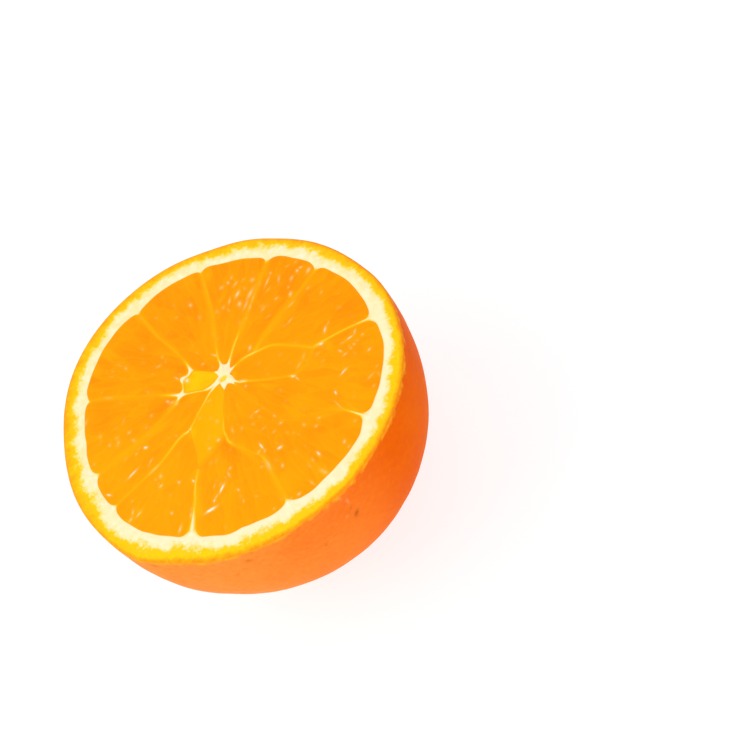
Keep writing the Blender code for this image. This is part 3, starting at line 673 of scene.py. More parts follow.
def side_wall(upper, lower):
    """Triangles between two closed rows with as many points."""
    after, below_after = np.roll(upper, -1), np.roll(lower, -1)
    halves = ((upper, after, below_after), (upper, below_after, lower))
    return np.vstack([np.column_stack(half) for half in halves])


def zipped(upper, lower):
    """Triangles between two closed rows of point numbers that start at one angle, facing out."""
    n, m = len(upper), len(lower)
    moves = np.concatenate([(np.arange(n) + 0.5) / n, (np.arange(m) + 0.5) / m])
    order = np.argsort(moves, kind="stable")
    is_upper = order < n
    i = np.cumsum(is_upper) - is_upper
    j = np.cumsum(~is_upper) - ~is_upper
    third = np.where(is_upper, upper[(i + 1) % n], lower[(j + 1) % m])
    return np.stack([upper[i % n], lower[j % m], third], axis=-1)


def fanned(row, centre, up):
    """Triangles between a closed anticlockwise row and its centre."""
    after = np.roll(row, -1)
    hub = np.full(len(row), centre)
    return np.stack([row, after, hub] if up else [after, row, hub], axis=-1)


def skin_surface(depth, degrees, shrink=1.0):
    """Points of the skin this far under the cut, drawn in towards the pole by shrink."""
    share = min(depth / ROUND_DEPTH, 1.0)
    narrowing = (1 - share**BODY_POWER) ** (1 / BODY_POWER)
    even = RIM_RADIUS + (rim_radius(degrees) - RIM_RADIUS) * (1 - share)
    flat = polar(degrees, even * narrowing * shrink) + BODY_LEAN * share
    return np.column_stack([flat, np.full(len(degrees), CUT_HEIGHT - depth)])


def skin_profile(step, first_depth):
    """(depth, shrink) of rows about a step apart, from under the rim to the middle of the flat spot."""
    turn = np.linspace(0, math.asin(CUT_HEIGHT / ROUND_DEPTH), 2000)
    depth = ROUND_DEPTH * np.sin(turn)
    radius = RIM_RADIUS * (1 - np.sin(turn) ** BODY_POWER) ** (1 / BODY_POWER)
    along = length_along(np.column_stack([depth, radius]))
    start = np.interp(first_depth, depth, along)
    count = round((along[-1] - start) / step)
    places = np.linspace(start, along[-1], count + 1)
    rows = [(value, 1.0) for value in np.interp(places, along, depth)]
    flat_count = round(radius[-1] / step)
    return rows + [(CUT_HEIGHT, 1 - i / flat_count) for i in range(1, flat_count)]


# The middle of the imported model's box is its origin, so the rim is moved by the middle of its own box.
RIM_OUTLINE = skin_surface(0.3, np.arange(0, 360, 0.5))[:, :2]
MIDDLE = np.append((RIM_OUTLINE.min(axis=0) + RIM_OUTLINE.max(axis=0)) / 2, 0)


def make_piece(name, points, faces, material, values):
    """A piece of the object from points in mm, with named values at its points for its material."""
    mesh = bpy.data.meshes.new(name)
    mesh.from_pydata(((points - MIDDLE) * MM).tolist(), [], faces.tolist())
    for key, value in values.items():
        flat = np.asarray(value, np.float32)
        kind, field = ("FLOAT", "value") if flat.ndim == 1 else ("FLOAT_VECTOR", "vector")
        mesh.attributes.new(key, kind, "POINT").data.foreach_set(field, flat.ravel())
    mesh.materials.append(material)
    mesh.shade_smooth()
    mesh.set_sharp_from_angle(angle=SHARP_ANGLE)
    piece = bpy.data.objects.new(name, mesh)
    bpy.context.collection.objects.link(piece)
    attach(piece, BODY)
    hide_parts(NODE)


def skin_relief(points, depth):
    """How far the skin stands out from its plain form, with broad waves, and the pits of its oil glands."""
    waves = noise_at(points, SKIN_WAVE_LENGTH) * SKIN_WAVE * np.minimum(1, 4 * depth / ROUND_DEPTH)
    ripples = noise_at(points, RIPPLE_LENGTH, 5.0) * RIPPLE_HEIGHT
    away = np.array([noise.voronoi(place)[0][0] for place in (points / PIT_SPACING).tolist()])
    pits = bell(away * PIT_SPACING, PIT_RADIUS)
    return waves + ripples - PIT_DEPTH * pits, pits


def skin_marks(points):
    """(relief, darkness) of the small marks at these points of the skin."""
    turn = degrees_of(points[:, :2])
    radius = np.linalg.norm(points[:, :2], axis=1)
    relief, dark = np.zeros(len(points)), np.zeros(len(points))
    for degrees, depth, length, width, tilt, height, darkness in SKIN_MARKS:
        around = np.radians((turn - degrees + 180) % 360 - 180) * radius
        down = CUT_HEIGHT - points[:, 2] - depth
        along, across = along_across(np.column_stack([around, down]), tilt)
        shape = bell(along, length / 2) * bell(across, width / 2)
        relief += height * shape
        dark += darkness * shape
    return relief, dark


def outward_of(points):
    """The outward direction of the skin at these points, from the body's rounded form."""
    share = np.clip((CUT_HEIGHT - points[:, 2]) / ROUND_DEPTH, 0, 1)
    flat = points[:, :2] - share[:, None] * BODY_LEAN
    radius = np.linalg.norm(flat, axis=1) / RIM_RADIUS
    steep = radius ** (BODY_POWER - 1) / RIM_RADIUS
    down = share ** (BODY_POWER - 1) / ROUND_DEPTH
    around = flat / np.maximum(np.linalg.norm(flat, axis=1), 1e-6)[:, None]
    outward = np.column_stack([around * steep[:, None], -down])
    return outward / np.linalg.norm(outward, axis=1)[:, None]


def inner_row(depth, behind):
    """A row of points this far behind the skin."""
    row = skin_surface(depth, np.arange(INNER_COUNT) * 360 / INNER_COUNT)
    return row - behind * outward_of(row)


def peel_outside():
    """Points of the skin with its relief, the numbers of each row, and its pits and marks."""
    rows, numbers, total = [], [], 0
    for depth, shrink in skin_profile(SKIN_STEP * math.sqrt(3) / 2, RIM_ROUNDING - 0.03):
        narrowing = (1 - (depth / ROUND_DEPTH) ** BODY_POWER) ** (1 / BODY_POWER)
        count = max(12, round(2 * math.pi * RIM_RADIUS * narrowing * shrink / SKIN_STEP))
        rows.append(skin_surface(depth, np.arange(count) * 360 / count, shrink))
        numbers.append(total + np.arange(count))
        total += count
    outside = np.vstack(rows)
    depth = CUT_HEIGHT - outside[:, 2]
    on_flat = depth > CUT_HEIGHT - 1e-6
    from_pole = distance_to(BODY_LEAN, outside[:, :2])
    mark_relief, dark = skin_marks(outside)
    relief, pits = skin_relief(outside, depth)
    relief += mark_relief
    outside += outward_of(outside) * np.where(on_flat, 0, relief)[:, None]
    scar = SCAR_DEPTH * unit(1.4 - from_pole / SCAR_RADIUS)
    creases = np.abs(noise_at(outside[:, :2], CREASE_LENGTH, 2.0)) * unit(2 - from_pole / SCAR_RADIUS)
    outside[:, 2] += np.where(on_flat, scar + CREASE_HEIGHT * creases, 0)
    outside[:, 2] = np.maximum(outside[:, 2], 0)
    return outside, numbers, pits, dark


def build_peel(material):
    """The skin, as a bowl with the thickness of the zest."""
    outside, numbers, pits, dark = peel_outside()
    points, total = [outside], len(outside)
    for inner_depth in np.linspace(RIM_ROUNDING + 0.3, CUT_HEIGHT - 2.5, 16):
        points.append(inner_row(inner_depth, PEEL_THICKNESS))
        numbers.insert(0, total + np.arange(INNER_COUNT))
        total += INNER_COUNT
    points = np.vstack(points + [[(*BODY_LEAN, SCAR_DEPTH), (*BODY_LEAN, INNER_POLE_HEIGHT)]])
    faces = [zipped(upper, lower) for upper, lower in zip(numbers, numbers[1:])]
    faces.append(fanned(numbers[-1], total, up=False))
    faces.append(fanned(numbers[0], total + 1, up=True))
    hidden = np.zeros(len(points) - len(outside))
    values = {
        "from_cut": CUT_HEIGHT - points[:, 2],
        # deep: the share of the painted shade on the skin's darker side.
        "deep": unit(bulged(degrees_of(points[:, :2]), 0, SHADED_SKIN_SIDE)),
        "pit": np.concatenate([pits, hidden]),
        "dark": np.concatenate([unit(dark), hidden]),
        "pale": np.concatenate([unit(-dark), hidden]),
    }
    make_piece("peel", points, np.vstack(faces), material, values)


def gland_places(random):
    """Flat places of the oil glands that the cut opens, in rows along the rim, and their sizes."""
    places, sizes = [], []
    for row_depth, spacing in GLAND_ROWS:
        count = round(2 * math.pi * RIM_RADIUS / spacing)
        degrees = (np.arange(count) + random.uniform(-GLAND_STRAY[0], GLAND_STRAY[0], count)) * 360 / count
        depth = row_depth + random.uniform(-GLAND_STRAY[1], GLAND_STRAY[1], count)
        places.append(polar(degrees, rim_radius(degrees) - depth))
        sizes.append(random.uniform(*GLAND_RADIUS, count))
    return np.vstack(places), np.concatenate(sizes)


def fleck_and_glint_cover(points, flecks_and_glints):
    """How much of a torn sac wall, pale in itself and painted paler as a glint, covers each point, from 0
    to 1.
    """
    shade = np.zeros(len(points))
    for x, y, length, width, degrees, bright in flecks_and_glints:
        offset = points - (x, y)
        near = np.nonzero((np.abs(offset) < 1.2 * length).all(axis=1))[0]
        along, across = along_across(offset[near], degrees)
        away = np.hypot(along / (length / 2), across / (width / 2))
        shade[near] = np.maximum(shade[near], bright * np.exp(-1.1 * away**2))
    return shade


def whitened(points, white, from_core):
    """The whiteness of the membranes with that of the core and of the tufts."""
    near_core = np.exp(-((from_core / WHITE_CORE_WIDTH) ** 4))
    tufts = sum(
        4 * extra * bell(distance_to(place, points), 1.3 * reach)
        for place, extra, reach in TUFTS
    )
    return unit(np.maximum(white, near_core) + tufts)


def pith_hollow(points):
    """How deep each point lies in the small hollow of the core, from 0 at its edge."""
    away = np.linalg.norm((points - PITH_HOLLOW) * PITH_HOLLOW_FORM, axis=1)
    return unit(1.2 - away / PITH_HOLLOW_RADIUS)


def web_relief(points, walls, glands, gland_sizes, flecks_and_glints):
    """Height over the cut plane and the material values of the rind, the membranes and the core."""
    degrees = degrees_of(points)
    out = np.linalg.norm(points, axis=1)
    from_rim = rim_radius(degrees) - out
    from_pulp = out - pulp_radius(degrees)
    wall_distance, number = nearest(walls.tree, points)
    wedge = walls.wedge[number]
    white = walls.vein(points)
    width = walls.half_width(points)
    in_rind = unit(from_pulp / RIND_RISE_WIDTH)
    from_core = distance_to(CORE, points)
    core = np.exp(-((from_core / CORE_WIDTH) ** 4))

    ridge = 1 - unit(wall_distance / np.maximum(width, WALL_HALF_WIDTH)) ** 2
    rise = RIDGE_RISE[0] + RIDGE_RISE[1] * white
    height = -GROOVE_DEPTH + rise * ridge * (1 - in_rind) + CORE_RISE * core
    height += in_rind * (RIND_RISE + noises_at(points, SPONGE_WAVES)) * unit(from_rim / RIND_RISE_WIDTH)
    gland_distance, number = nearest(tree_of(glands), points)
    gland = unit(1 - (gland_distance / gland_sizes[number]) ** 2)
    height -= GLAND_DEPTH * gland
    height -= RIM_ROUNDING * (1 - np.sqrt(1 - unit(1 - from_rim / RIM_ROUNDING) ** 2))
    hollow = pith_hollow(points)
    height -= PITH_HOLLOW_DEPTH * unit(1.8 * hollow)

    near_rind = bell(np.maximum(-from_pulp, 0), WHITE_AT_RIND[0] + WHITE_AT_RIND[1] * wedge)
    white = whitened(points, np.maximum(white, near_rind), from_core)
    # The flecks, with their painted glints, show on the rind and membranes too.
    white = np.maximum(white, fleck_and_glint_cover(points, flecks_and_glints))
    return height, {
        "white": np.where(from_pulp > 0, 1, white),
        "hollow": unit(2 * hollow),
        "gland": gland,
        "from_pulp": from_pulp,
        "zest_share": from_rim / bulged(degrees, ZEST_WIDTH, ZEST_BULGES),
        "edge_share": from_rim / bulged(degrees, EDGE_WIDTH, EDGE_BULGES),
        "creamy": unit(bulged(degrees, 0, CREAMY_BULGES)),
        "rim_place": np.column_stack([polar(degrees, RIM_RADIUS), from_rim]),
    }


def body_wall(rim_numbers, total):
    """Rows from under the rim's edge down inside the peel to the pole, and their faces."""
    rows, faces, upper = [], [], rim_numbers
    for depth in np.concatenate([[0.9], np.linspace(3, CUT_HEIGHT - 1.5, 14)]):
        rows.append(inner_row(depth, PEEL_THICKNESS / 2))
        lower = total + np.arange(INNER_COUNT)
        faces.append(zipped(upper, lower))
        upper, total = lower, total + INNER_COUNT
    rows.append(np.array([[*BODY_LEAN, 1.0]]))
    faces.append(fanned(upper, total, up=False))
    return np.vstack(rows), np.vstack(faces)


def outlines_tree(outlines, step):
    return tree_of(np.vstack([evenly(outline, step) for outline in outlines]))


def rim_rows(count):
    """The rim and the rows beside it, each turned half a step from the one before."""
    degrees = np.arange(count) * 360 / count
    rows = []
    for i, depth in enumerate(RIM_ROWS):
        turned = degrees + 180 / count * (i % 2)
        rows.append(polar(turned, rim_radius(turned) - depth))
    return rows


def rind_grid(outlines, random):
    """Points over the rind, the membranes and the core, clear of the rim and of every outline."""
    grid = triangular_grid(RIND_STEP, (-40, -40), (41, 41))
    keep = np.linalg.norm(grid, axis=1) < rim_radius(degrees_of(grid)) - GRID_FROM_RIM
    for outline in outlines:
        keep &= ~inside(grid, outline)
    grid = grid[keep]
    distance, _ = nearest(outlines_tree(outlines, 0.06), grid)
    grid = grid[distance > 0.5 * RIND_STEP]
    return grid + random.uniform(-JITTER, JITTER, grid.shape)


def build_web(outlines, walls, flecks_and_glints, material, random):
    """The rind's cut face, the membranes and the core, with a pocket for each segment and lobe."""
    rim_count = round(2 * math.pi * RIM_RADIUS / RIM_STEP)
    flat = np.vstack(rim_rows(rim_count) + outlines + [rind_grid(outlines, random)])
    edges, start = loop_edges(rim_count), rim_count * len(RIM_ROWS)
    pockets = []
    for outline in outlines:
        edges += loop_edges(len(outline), start)
        pockets.append(start + np.arange(len(outline)))
        start += len(outline)
    triangles = triangulated(flat, edges)
    middles = flat[triangles].mean(axis=1)
    in_pocket = np.zeros(len(triangles), int)
    for number, outline in enumerate(outlines):
        in_pocket[inside(middles, outline)] = number + 1

    glands, gland_sizes = gland_places(random)
    height, values = web_relief(flat, walls, glands, gland_sizes, flecks_and_glints)
    values["from_pocket"], _ = nearest(outlines_tree(outlines, 0.08), flat)
    top = np.column_stack([flat, CUT_HEIGHT + height])
    faces = [triangles[in_pocket == 0]]
    points, total = [top], len(top)
    for number, rim_of_pocket in enumerate(pockets):
        height = np.full(len(rim_of_pocket), CUT_HEIGHT - POCKET_DEPTH)
        floor = np.column_stack([flat[rim_of_pocket], height])
        numbers = total + np.arange(len(floor))
        below = dict(zip(rim_of_pocket.tolist(), numbers.tolist()))
        inner = triangles[in_pocket == number + 1]
        faces.append(np.array([[below[corner] for corner in triangle] for triangle in inner.tolist()]))
        faces.append(side_wall(rim_of_pocket, numbers))
        points.append(floor)
        total += len(floor)
    wall_points, wall_faces = body_wall(np.arange(rim_count), total)
    points = np.vstack(points + [wall_points])
    faces = np.vstack(faces + [wall_faces])
    hidden = len(points) - len(top)
    for key, value in values.items():
        values[key] = np.concatenate([value, np.zeros((hidden,) + value.shape[1:])])
    make_piece("rind_and_membranes", points, faces, material, values)


def cut_piece(name, outline, step, relief, material, random):
    """A piece that fills a pocket: its outline, a fine top by the relief function, sides and a floor."""
    edge = outline - 0.03 * inward_of(outline)
    grid = triangular_grid(step, outline.min(axis=0), outline.max(axis=0))
    grid = grid[inside(grid, outline)]
    distance, _ = nearest(tree_of(outline), grid)
    grid = grid[distance > 0.5 * step]
    grid = grid + random.uniform(-JITTER, JITTER, grid.shape)
    flat = np.vstack([edge, grid])
    triangles = triangulated(flat, loop_edges(len(edge)))
    triangles = triangles[inside(flat[triangles].mean(axis=1), edge)]
    from_edge, _ = nearest(tree_of(evenly(outline, 0.1)), flat)
    from_edge[: len(edge)] = 0
    height, values = relief(flat, from_edge)
    top = np.column_stack([flat, CUT_HEIGHT + height])
    count = len(edge)
    floor = np.column_stack([outline, np.full(count, CUT_HEIGHT - PIECE_DEPTH)])
    ring = np.arange(count)
    below = len(top) + ring
    floor_plan = triangulated(outline, loop_edges(count))
    floor_plan = floor_plan[inside(outline[floor_plan].mean(axis=1), outline)]
    faces = np.vstack([triangles, side_wall(ring, below)[:, ::-1], below[floor_plan[:, ::-1]]])
    values = {key: np.concatenate([value, value[:count]]) for key, value in values.items()}
    make_piece(name, np.vstack([top, floor]), faces, material, values)


def sac_seeds(outline, random):
    """Places of the juice sacs of a segment, by distance from the core and place across."""
    grid = triangular_grid(1.0, (0.0, -math.pi * 22), (44 / SAC_LENGTH, math.pi * 22))
    grid = grid + random.uniform(-0.3, 0.3, grid.shape)
    reach = grid[:, 0] * SAC_LENGTH
    turn = grid[:, 1] * SAC_WIDTH / np.maximum(reach, 4)
    keep = np.abs(turn) < math.pi
    places = np.array(CORE) + polar(np.degrees(turn[keep]), reach[keep])
    within = inside(places, outline)
    return places[within] if within.sum() > 3 else outline[:: len(outline) // 4]


def sac_cells(points, seeds, random):
    """For each point: its sac's number, how far in it lies from the sac's edge, and where along it."""
    offset = points - np.array(CORE)
    reach = np.linalg.norm(offset, axis=1)
    seed_offset = seeds - np.array(CORE)
    seed_reach = np.linalg.norm(seed_offset, axis=1)
    seed_turn = np.arctan2(seed_offset[:, 1], seed_offset[:, 0])
    tilt = random.uniform(-SAC_TILT, SAC_TILT, len(seeds))
    stretch = random.uniform(*SAC_STRETCH, len(seeds))
    bend = noise_at(points, 4.0, 7.0) * 0.5
    turn = np.arctan2(offset[:, 1], offset[:, 0])
    along = reach[:, None] - seed_reach[None]
    around = (turn[:, None] - seed_turn[None] + math.pi) % (2 * math.pi) - math.pi
    across = around * (reach[:, None] + seed_reach[None]) / 2 + bend[:, None] - tilt[None] * along
    distance = np.hypot(along / (SAC_LENGTH * stretch[None]), across / SAC_WIDTH)
    order = np.argsort(distance, axis=1)[:, :2]
    rows = np.arange(len(points))
    first, second = order[:, 0], order[:, 1]
    margin = (distance[rows, second] - distance[rows, first]) * SAC_WIDTH
    return first, margin, along[rows, first], across[rows, first]


def haze_of(points):
    """How much paler, or with a minus sign deeper, the pulp is at each point."""
    haze = np.zeros(len(points))
    for x, y, length, width, degrees, amount in HAZE:
        along, across = along_across(points - (x, y), degrees)
        haze += amount * bell(along, length / 2) * bell(across, width / 2)
    return haze


def pulp_values(points, walls, shade, tone, seam, flow, fade):
    """The values that the material of the pulp reads at its points."""
    from_rind = pulp_radius(degrees_of(points)) - np.linalg.norm(points, axis=1)
    return {
        "fade": fade,
        "tone": tone,
        "seam": seam,
        "flow": flow,
        "halo": bell(from_rind, HALO_WIDTH),
        "vein": walls.vein(points),
        "fleck_and_glint": shade,
        "haze": haze_of(points),
    }


def pulp_relief(walls, flecks_and_glints, random, outline):
    """The relief function of one segment."""

    def relief(points, from_edge):
        seeds = sac_seeds(outline, random)
        sac, margin, along, across = sac_cells(points, seeds, random)
        swell = 1 - bell(margin, SAC_ROUNDING)
        size = random.uniform(*SAC_SIZE, len(seeds))
        step = random.uniform(-SAC_SHIFT, SAC_SHIFT, len(seeds))
        tone = random.uniform(0, 1, len(seeds))
        inner = 1 - np.exp(-from_edge / PULP_SLOPE)
        shade = fleck_and_glint_cover(points, flecks_and_glints)
        height = -GROOVE_DEPTH + PULP_CROWN * inner
        height += inner * (SAC_BULGE * size[sac] * (swell - 0.6) + step[sac])
        height += inner * noises_at(points, PULP_WAVES) + FLECK_RISE * shade
        height[from_edge == 0] = -GROOVE_DEPTH - EDGE_DROP
        flow = np.column_stack([along, across, tone[sac] * 30])
        fade = np.zeros(len(points))
        return height, pulp_values(points, walls, shade, tone[sac], bell(margin, SEAM_WIDTH), flow, fade)

    return relief


def lobe_relief(walls, flecks_and_glints, depth, slope, fading):
    """The relief function of a lobe, a smooth hollow lined with membrane."""

    def relief(points, from_edge):
        inner = 1 - np.exp(-((from_edge / slope) ** 1.5))
        shade = fleck_and_glint_cover(points, flecks_and_glints)
        height = -GROOVE_DEPTH - depth * inner + inner * noises_at(points, LOBE_WAVES) + FLECK_RISE * shade
        height[from_edge == 0] = -GROOVE_DEPTH - EDGE_DROP
        offset = points - np.array(CORE)
        reach = np.linalg.norm(offset, axis=1)
        turn = np.arctan2(offset[:, 1], offset[:, 0])
        flow = np.column_stack([reach, turn * reach, np.zeros(len(points))])
        half = np.full(len(points), 0.5)
        fade = 0 * half
        for name in fading:
            away, _ = nearest(tree_of(membrane_line(name, 0.1)), points)
            fade = np.maximum(fade, bell(away, LOBE_FADE))
        return height, pulp_values(points, walls, shade, half, 0 * half, flow, fade)

    return relief


def pulp_height(points, outlines):
    """Roughly how high the pulp stands at these places, for what lies on it."""
    height = np.full(len(points), np.nan)
    for number, outline in enumerate(outlines):
        within = inside(points, outline)
        if not within.any():
            continue
        distance, _ = nearest(tree_of(outline), points[within])
        if number < len(SEGMENTS):
            height[within] = -GROOVE_DEPTH + PULP_CROWN * (1 - np.exp(-distance / PULP_SLOPE))
        else:
            _, depth, slope, _ = LOBES[number - len(SEGMENTS)]
            height[within] = -GROOVE_DEPTH - depth * (1 - np.exp(-distance / slope))
    return height


def fleck_mesh(length, width, thick, bend, sides=8, rings=7):
    """One torn sac wall: a flat, bent spindle along X."""
    points = [(-length / 2, -bend, 0)]
    for i in range(1, rings):
        share = i / rings
        body = math.sin(math.pi * share) ** 0.7
        x = length * (share - 0.5)
        sag = -bend * (2 * share - 1) ** 2
        for k in range(sides):
            turn = 2 * math.pi * k / sides
            points.append((x, sag + width / 2 * body * math.cos(turn), thick / 2 * body * math.sin(turn)))
    points.append((length / 2, -bend, 0))
    faces = []
    last = len(points) - 1
    for k in range(sides):
        after = (k + 1) % sides
        faces.append((0, 1 + k, 1 + after))
        faces.append((last, last - sides + after, last - sides + k))
        for i in range(rings - 2):
            a, b = 1 + i * sides + k, 1 + i * sides + after
            faces += [(a, a + sides, b + sides), (a, b + sides, b)]
    return np.array(points), np.array(faces)


def all_flecks_and_glints(random):
    """The placed flecks, torn sac walls painted paler as glints, and loose faint painted glints: x, y,
    length, width, degrees, brightness.
    """
    flecks_and_glints = list(TORN_WALLS_AND_GLINTS)
    while len(flecks_and_glints) < len(TORN_WALLS_AND_GLINTS) + LOOSE_GLINTS:
        x, y = random.uniform(-33, 33, 2)
        if math.hypot(x, y) < LOOSE_GLINT_REACH:
            length = LOOSE_GLINT_LENGTH * random.uniform(0.6, 1.6)
            degrees = math.degrees(math.atan2(y - CORE[1], x - CORE[0])) + random.normal(0, 30)
            flecks_and_glints.append((x, y, length, min(0.6, 0.6 * length), degrees, random.uniform(0.04, 0.16)))
    return flecks_and_glints


def build_flecks(outlines, flecks_and_glints, material, random):
    """The brightest torn sac walls, as thin glossy slivers that lie on the pulp, their colour paler as a
    painted glint.
    """
    bright = np.array([fleck_and_glint for fleck_and_glint in flecks_and_glints if fleck_and_glint[5] >= SLIVER_FROM])
    heights = pulp_height(bright[:, :2], outlines)
    points, faces, shades, total = [], [], [], 0
    for (x, y, length, width, degrees, shade), height in zip(bright, heights):
        if not math.isfinite(height):
            continue
        bend = random.uniform(-0.08, 0.08) * length
        shape, sides = fleck_mesh(0.75 * length, 0.5 * width, SLIVER_THICKNESS, bend)
        turn = math.radians(degrees)
        spin = np.array(((math.cos(turn), -math.sin(turn)), (math.sin(turn), math.cos(turn))))
        shape[:, :2] = shape[:, :2] @ spin.T + (x, y)
        shape[:, 2] += CUT_HEIGHT + height + FLECK_RISE
        points.append(shape)
        faces.append(sides + total)
        shades.append(np.full(len(shape), shade))
        total += len(shape)
    values = {"bright": np.concatenate(shades)}
    make_piece("torn_sacs_and_glints", np.vstack(points), np.vstack(faces), material, values)


class Shader:
    """A material and short calls to build its nodes."""

    def __init__(self, name):
        self.material = bpy.data.materials.new(name)
        self.material.use_nodes = True
        self.tree = self.material.node_tree
        self.principled = self.tree.nodes["Principled BSDF"]

    def link(self, source, target):
        self.tree.links.new(source, target)

    def fill(self, socket, value):
        """Gives the socket a plain number or colour, or the output of another node."""
        if isinstance(value, (int, float)):
            socket.default_value = value
        elif isinstance(value, tuple):
            socket.default_value = (*value, 1) if socket.type == "RGBA" else value
        else:
            self.link(value, socket)

    def finished(self, **values):
        """The material, with these inputs of its shader, written with _ for a space."""
        for name, value in values.items():
            self.fill(self.principled.inputs[name.replace("_", " ")], value)
        return self.material

    def attribute(self, name, output="Fac"):
        made = self.tree.nodes.new("ShaderNodeAttribute")
        made.attribute_name = name
        return made.outputs[output]

    def math(self, operation, first, second):
        made = self.tree.nodes.new("ShaderNodeMath")
        made.operation = operation
        self.fill(made.inputs[0], first)
        self.fill(made.inputs[1], second)
        return made.outputs[0]

    def noise(self, scale, detail=3.0, rough=0.5, vector=None, stretch=None):
        made = self.tree.nodes.new("ShaderNodeTexNoise")
        made.inputs["Scale"].default_value = scale
        made.inputs["Detail"].default_value = detail
        made.inputs["Roughness"].default_value = rough
        if vector is None:
            vector = self.tree.nodes.new("ShaderNodeTexCoord").outputs["Object"]
        if stretch:
            mapping = self.tree.nodes.new("ShaderNodeMapping")
            mapping.inputs["Scale"].default_value = stretch
            self.link(vector, mapping.inputs["Vector"])
            vector = mapping.outputs["Vector"]
        self.link(vector, made.inputs["Vector"])
        return made.outputs["Fac"]

    def ramp(self, factor, stops):
        """Colour by a factor: stops are (place, colour)."""
        made = self.tree.nodes.new("ShaderNodeValToRGB")
        band = made.color_ramp
        while len(band.elements) < len(stops):
            band.elements.new(0.5)
        for element, (place, colour) in zip(band.elements, stops):
            element.position = place
            element.color = (*colour, 1)
        self.link(factor, made.inputs["Fac"])
        return made.outputs["Color"]

    def mix(self, factor, first, second):
        made = self.tree.nodes.new("ShaderNodeMix")
        made.data_type = "RGBA"
        for number, value in ((0, factor), (6, first), (7, second)):
            self.fill(made.inputs[number], value)
        return made.outputs[2]

    def range(self, value, low, high, to_low=0.0, to_high=1.0, smooth=False):
        made = self.tree.nodes.new("ShaderNodeMapRange")
        made.interpolation_type = "SMOOTHSTEP" if smooth else "LINEAR"
        self.link(value, made.inputs["Value"])
        for key, number in (("From Min", low), ("From Max", high), ("To Min", to_low), ("To Max", to_high)):
            made.inputs[key].default_value = number
        return made.outputs["Result"]

    def bump(self, height, distance, strength=1.0):
        made = self.tree.nodes.new("ShaderNodeBump")
        made.inputs["Strength"].default_value = strength
        made.inputs["Distance"].default_value = distance * MM
        self.link(height, made.inputs["Height"])
        self.link(made.outputs["Normal"], self.principled.inputs["Normal"])


# Colours of the pulp: its mean, then deep, light and pale, and those of each lobe.
PULP_COLOUR = (0.985, 0.335, 0.0)
PULP_COLOURS = ((0.98, 0.28, 0.0), (0.99, 0.375, 0.0), (0.99, 0.44, 0.001))
LOBE_COLOURS = (
    ("lobe_hollow", (1.0, 0.47, 0.0), (1.0, 0.55, 0.0), (1.0, 0.6, 0.004)),
    ("lobe_kite", (1.0, 0.4, 0.0), (1.0, 0.44, 0.0), (1.0, 0.52, 0.001)),
    ("lobe_side", (0.99, 0.31, 0.0), (0.99, 0.37, 0.0), (0.99, 0.45, 0.001)),
)


def vein_colour(shader, bright, plain):
    """The plain colour, or that of a membrane where one shows brightly."""
    shown = shader.ramp(bright, (
        (0.35, (0.99, 0.41, 0.0)),
        (0.6, (0.99, 0.51, 0.006)),
        (0.7, (0.99, 0.59, 0.04)),
        (0.8, (0.99, 0.68, 0.15)),
        (0.9, (0.98, 0.76, 0.33)),
        (1.0, (0.98, 0.83, 0.48)),
    ))
    return shader.mix(shader.range(bright, 0.0, 0.35), plain, shown)


def peel_material():
    shader = Shader("peel")
    broad = shader.noise(60, 3)
    fine = shader.noise(900, 2)
    # Skin colours: a little blue on the lit side as a painted sheen, darker and redder where deep says, as
    # painted shade and painted bounce light; the fine spots are split the same way.
    painted_sheen_skin = shader.ramp(broad, ((0.3, (0.94, 0.205, 0.022)), (0.7, (0.96, 0.245, 0.034))))
    right = shader.ramp(broad, ((0.3, (0.83, 0.1, 0.0)), (0.7, (0.89, 0.132, 0.0))))
    deep = shader.attribute("deep")
    base = shader.mix(deep, painted_sheen_skin, right)
    spot = shader.mix(deep, (0.97, 0.3, 0.04), (0.93, 0.17, 0.0))
    colour = shader.mix(shader.range(fine, 0.45, 0.7, 0, 0.35), base, spot)
    pitted = shader.math("MULTIPLY", shader.attribute("pit"), 0.35)
    colour = shader.mix(pitted, colour, (0.88, 0.11, 0.0))
    # Paler orange along the cut, down the outside of the skin: painted light that lifts the shade of the
    # rounded rim.
    uneven = shader.range(shader.noise(550, 3), 0.3, 0.7, -0.9, 0.9)
    ragged = shader.math("ADD", shader.attribute("from_cut"), uneven)
    colour = shader.mix(shader.range(ragged, -0.3, 1.3), (1.0, 0.4, 0.015), colour)
    colour = shader.mix(shader.attribute("dark"), colour, (0.42, 0.1, 0.01))
    colour = shader.mix(shader.attribute("pale"), colour, (0.96, 0.42, 0.16))
    shader.bump(shader.noise(1400, 3), 0.05, 0.5)
    return shader.finished(
        Base_Color=colour,
        Roughness=shader.range(fine, 0.3, 0.7, 0.42, 0.55),
        Specular_IOR_Level=0.008,
        Subsurface_Weight=0.1,
        Subsurface_Radius=(1.0, 0.3, 0.05),
        Subsurface_Scale=0.0015,
    )


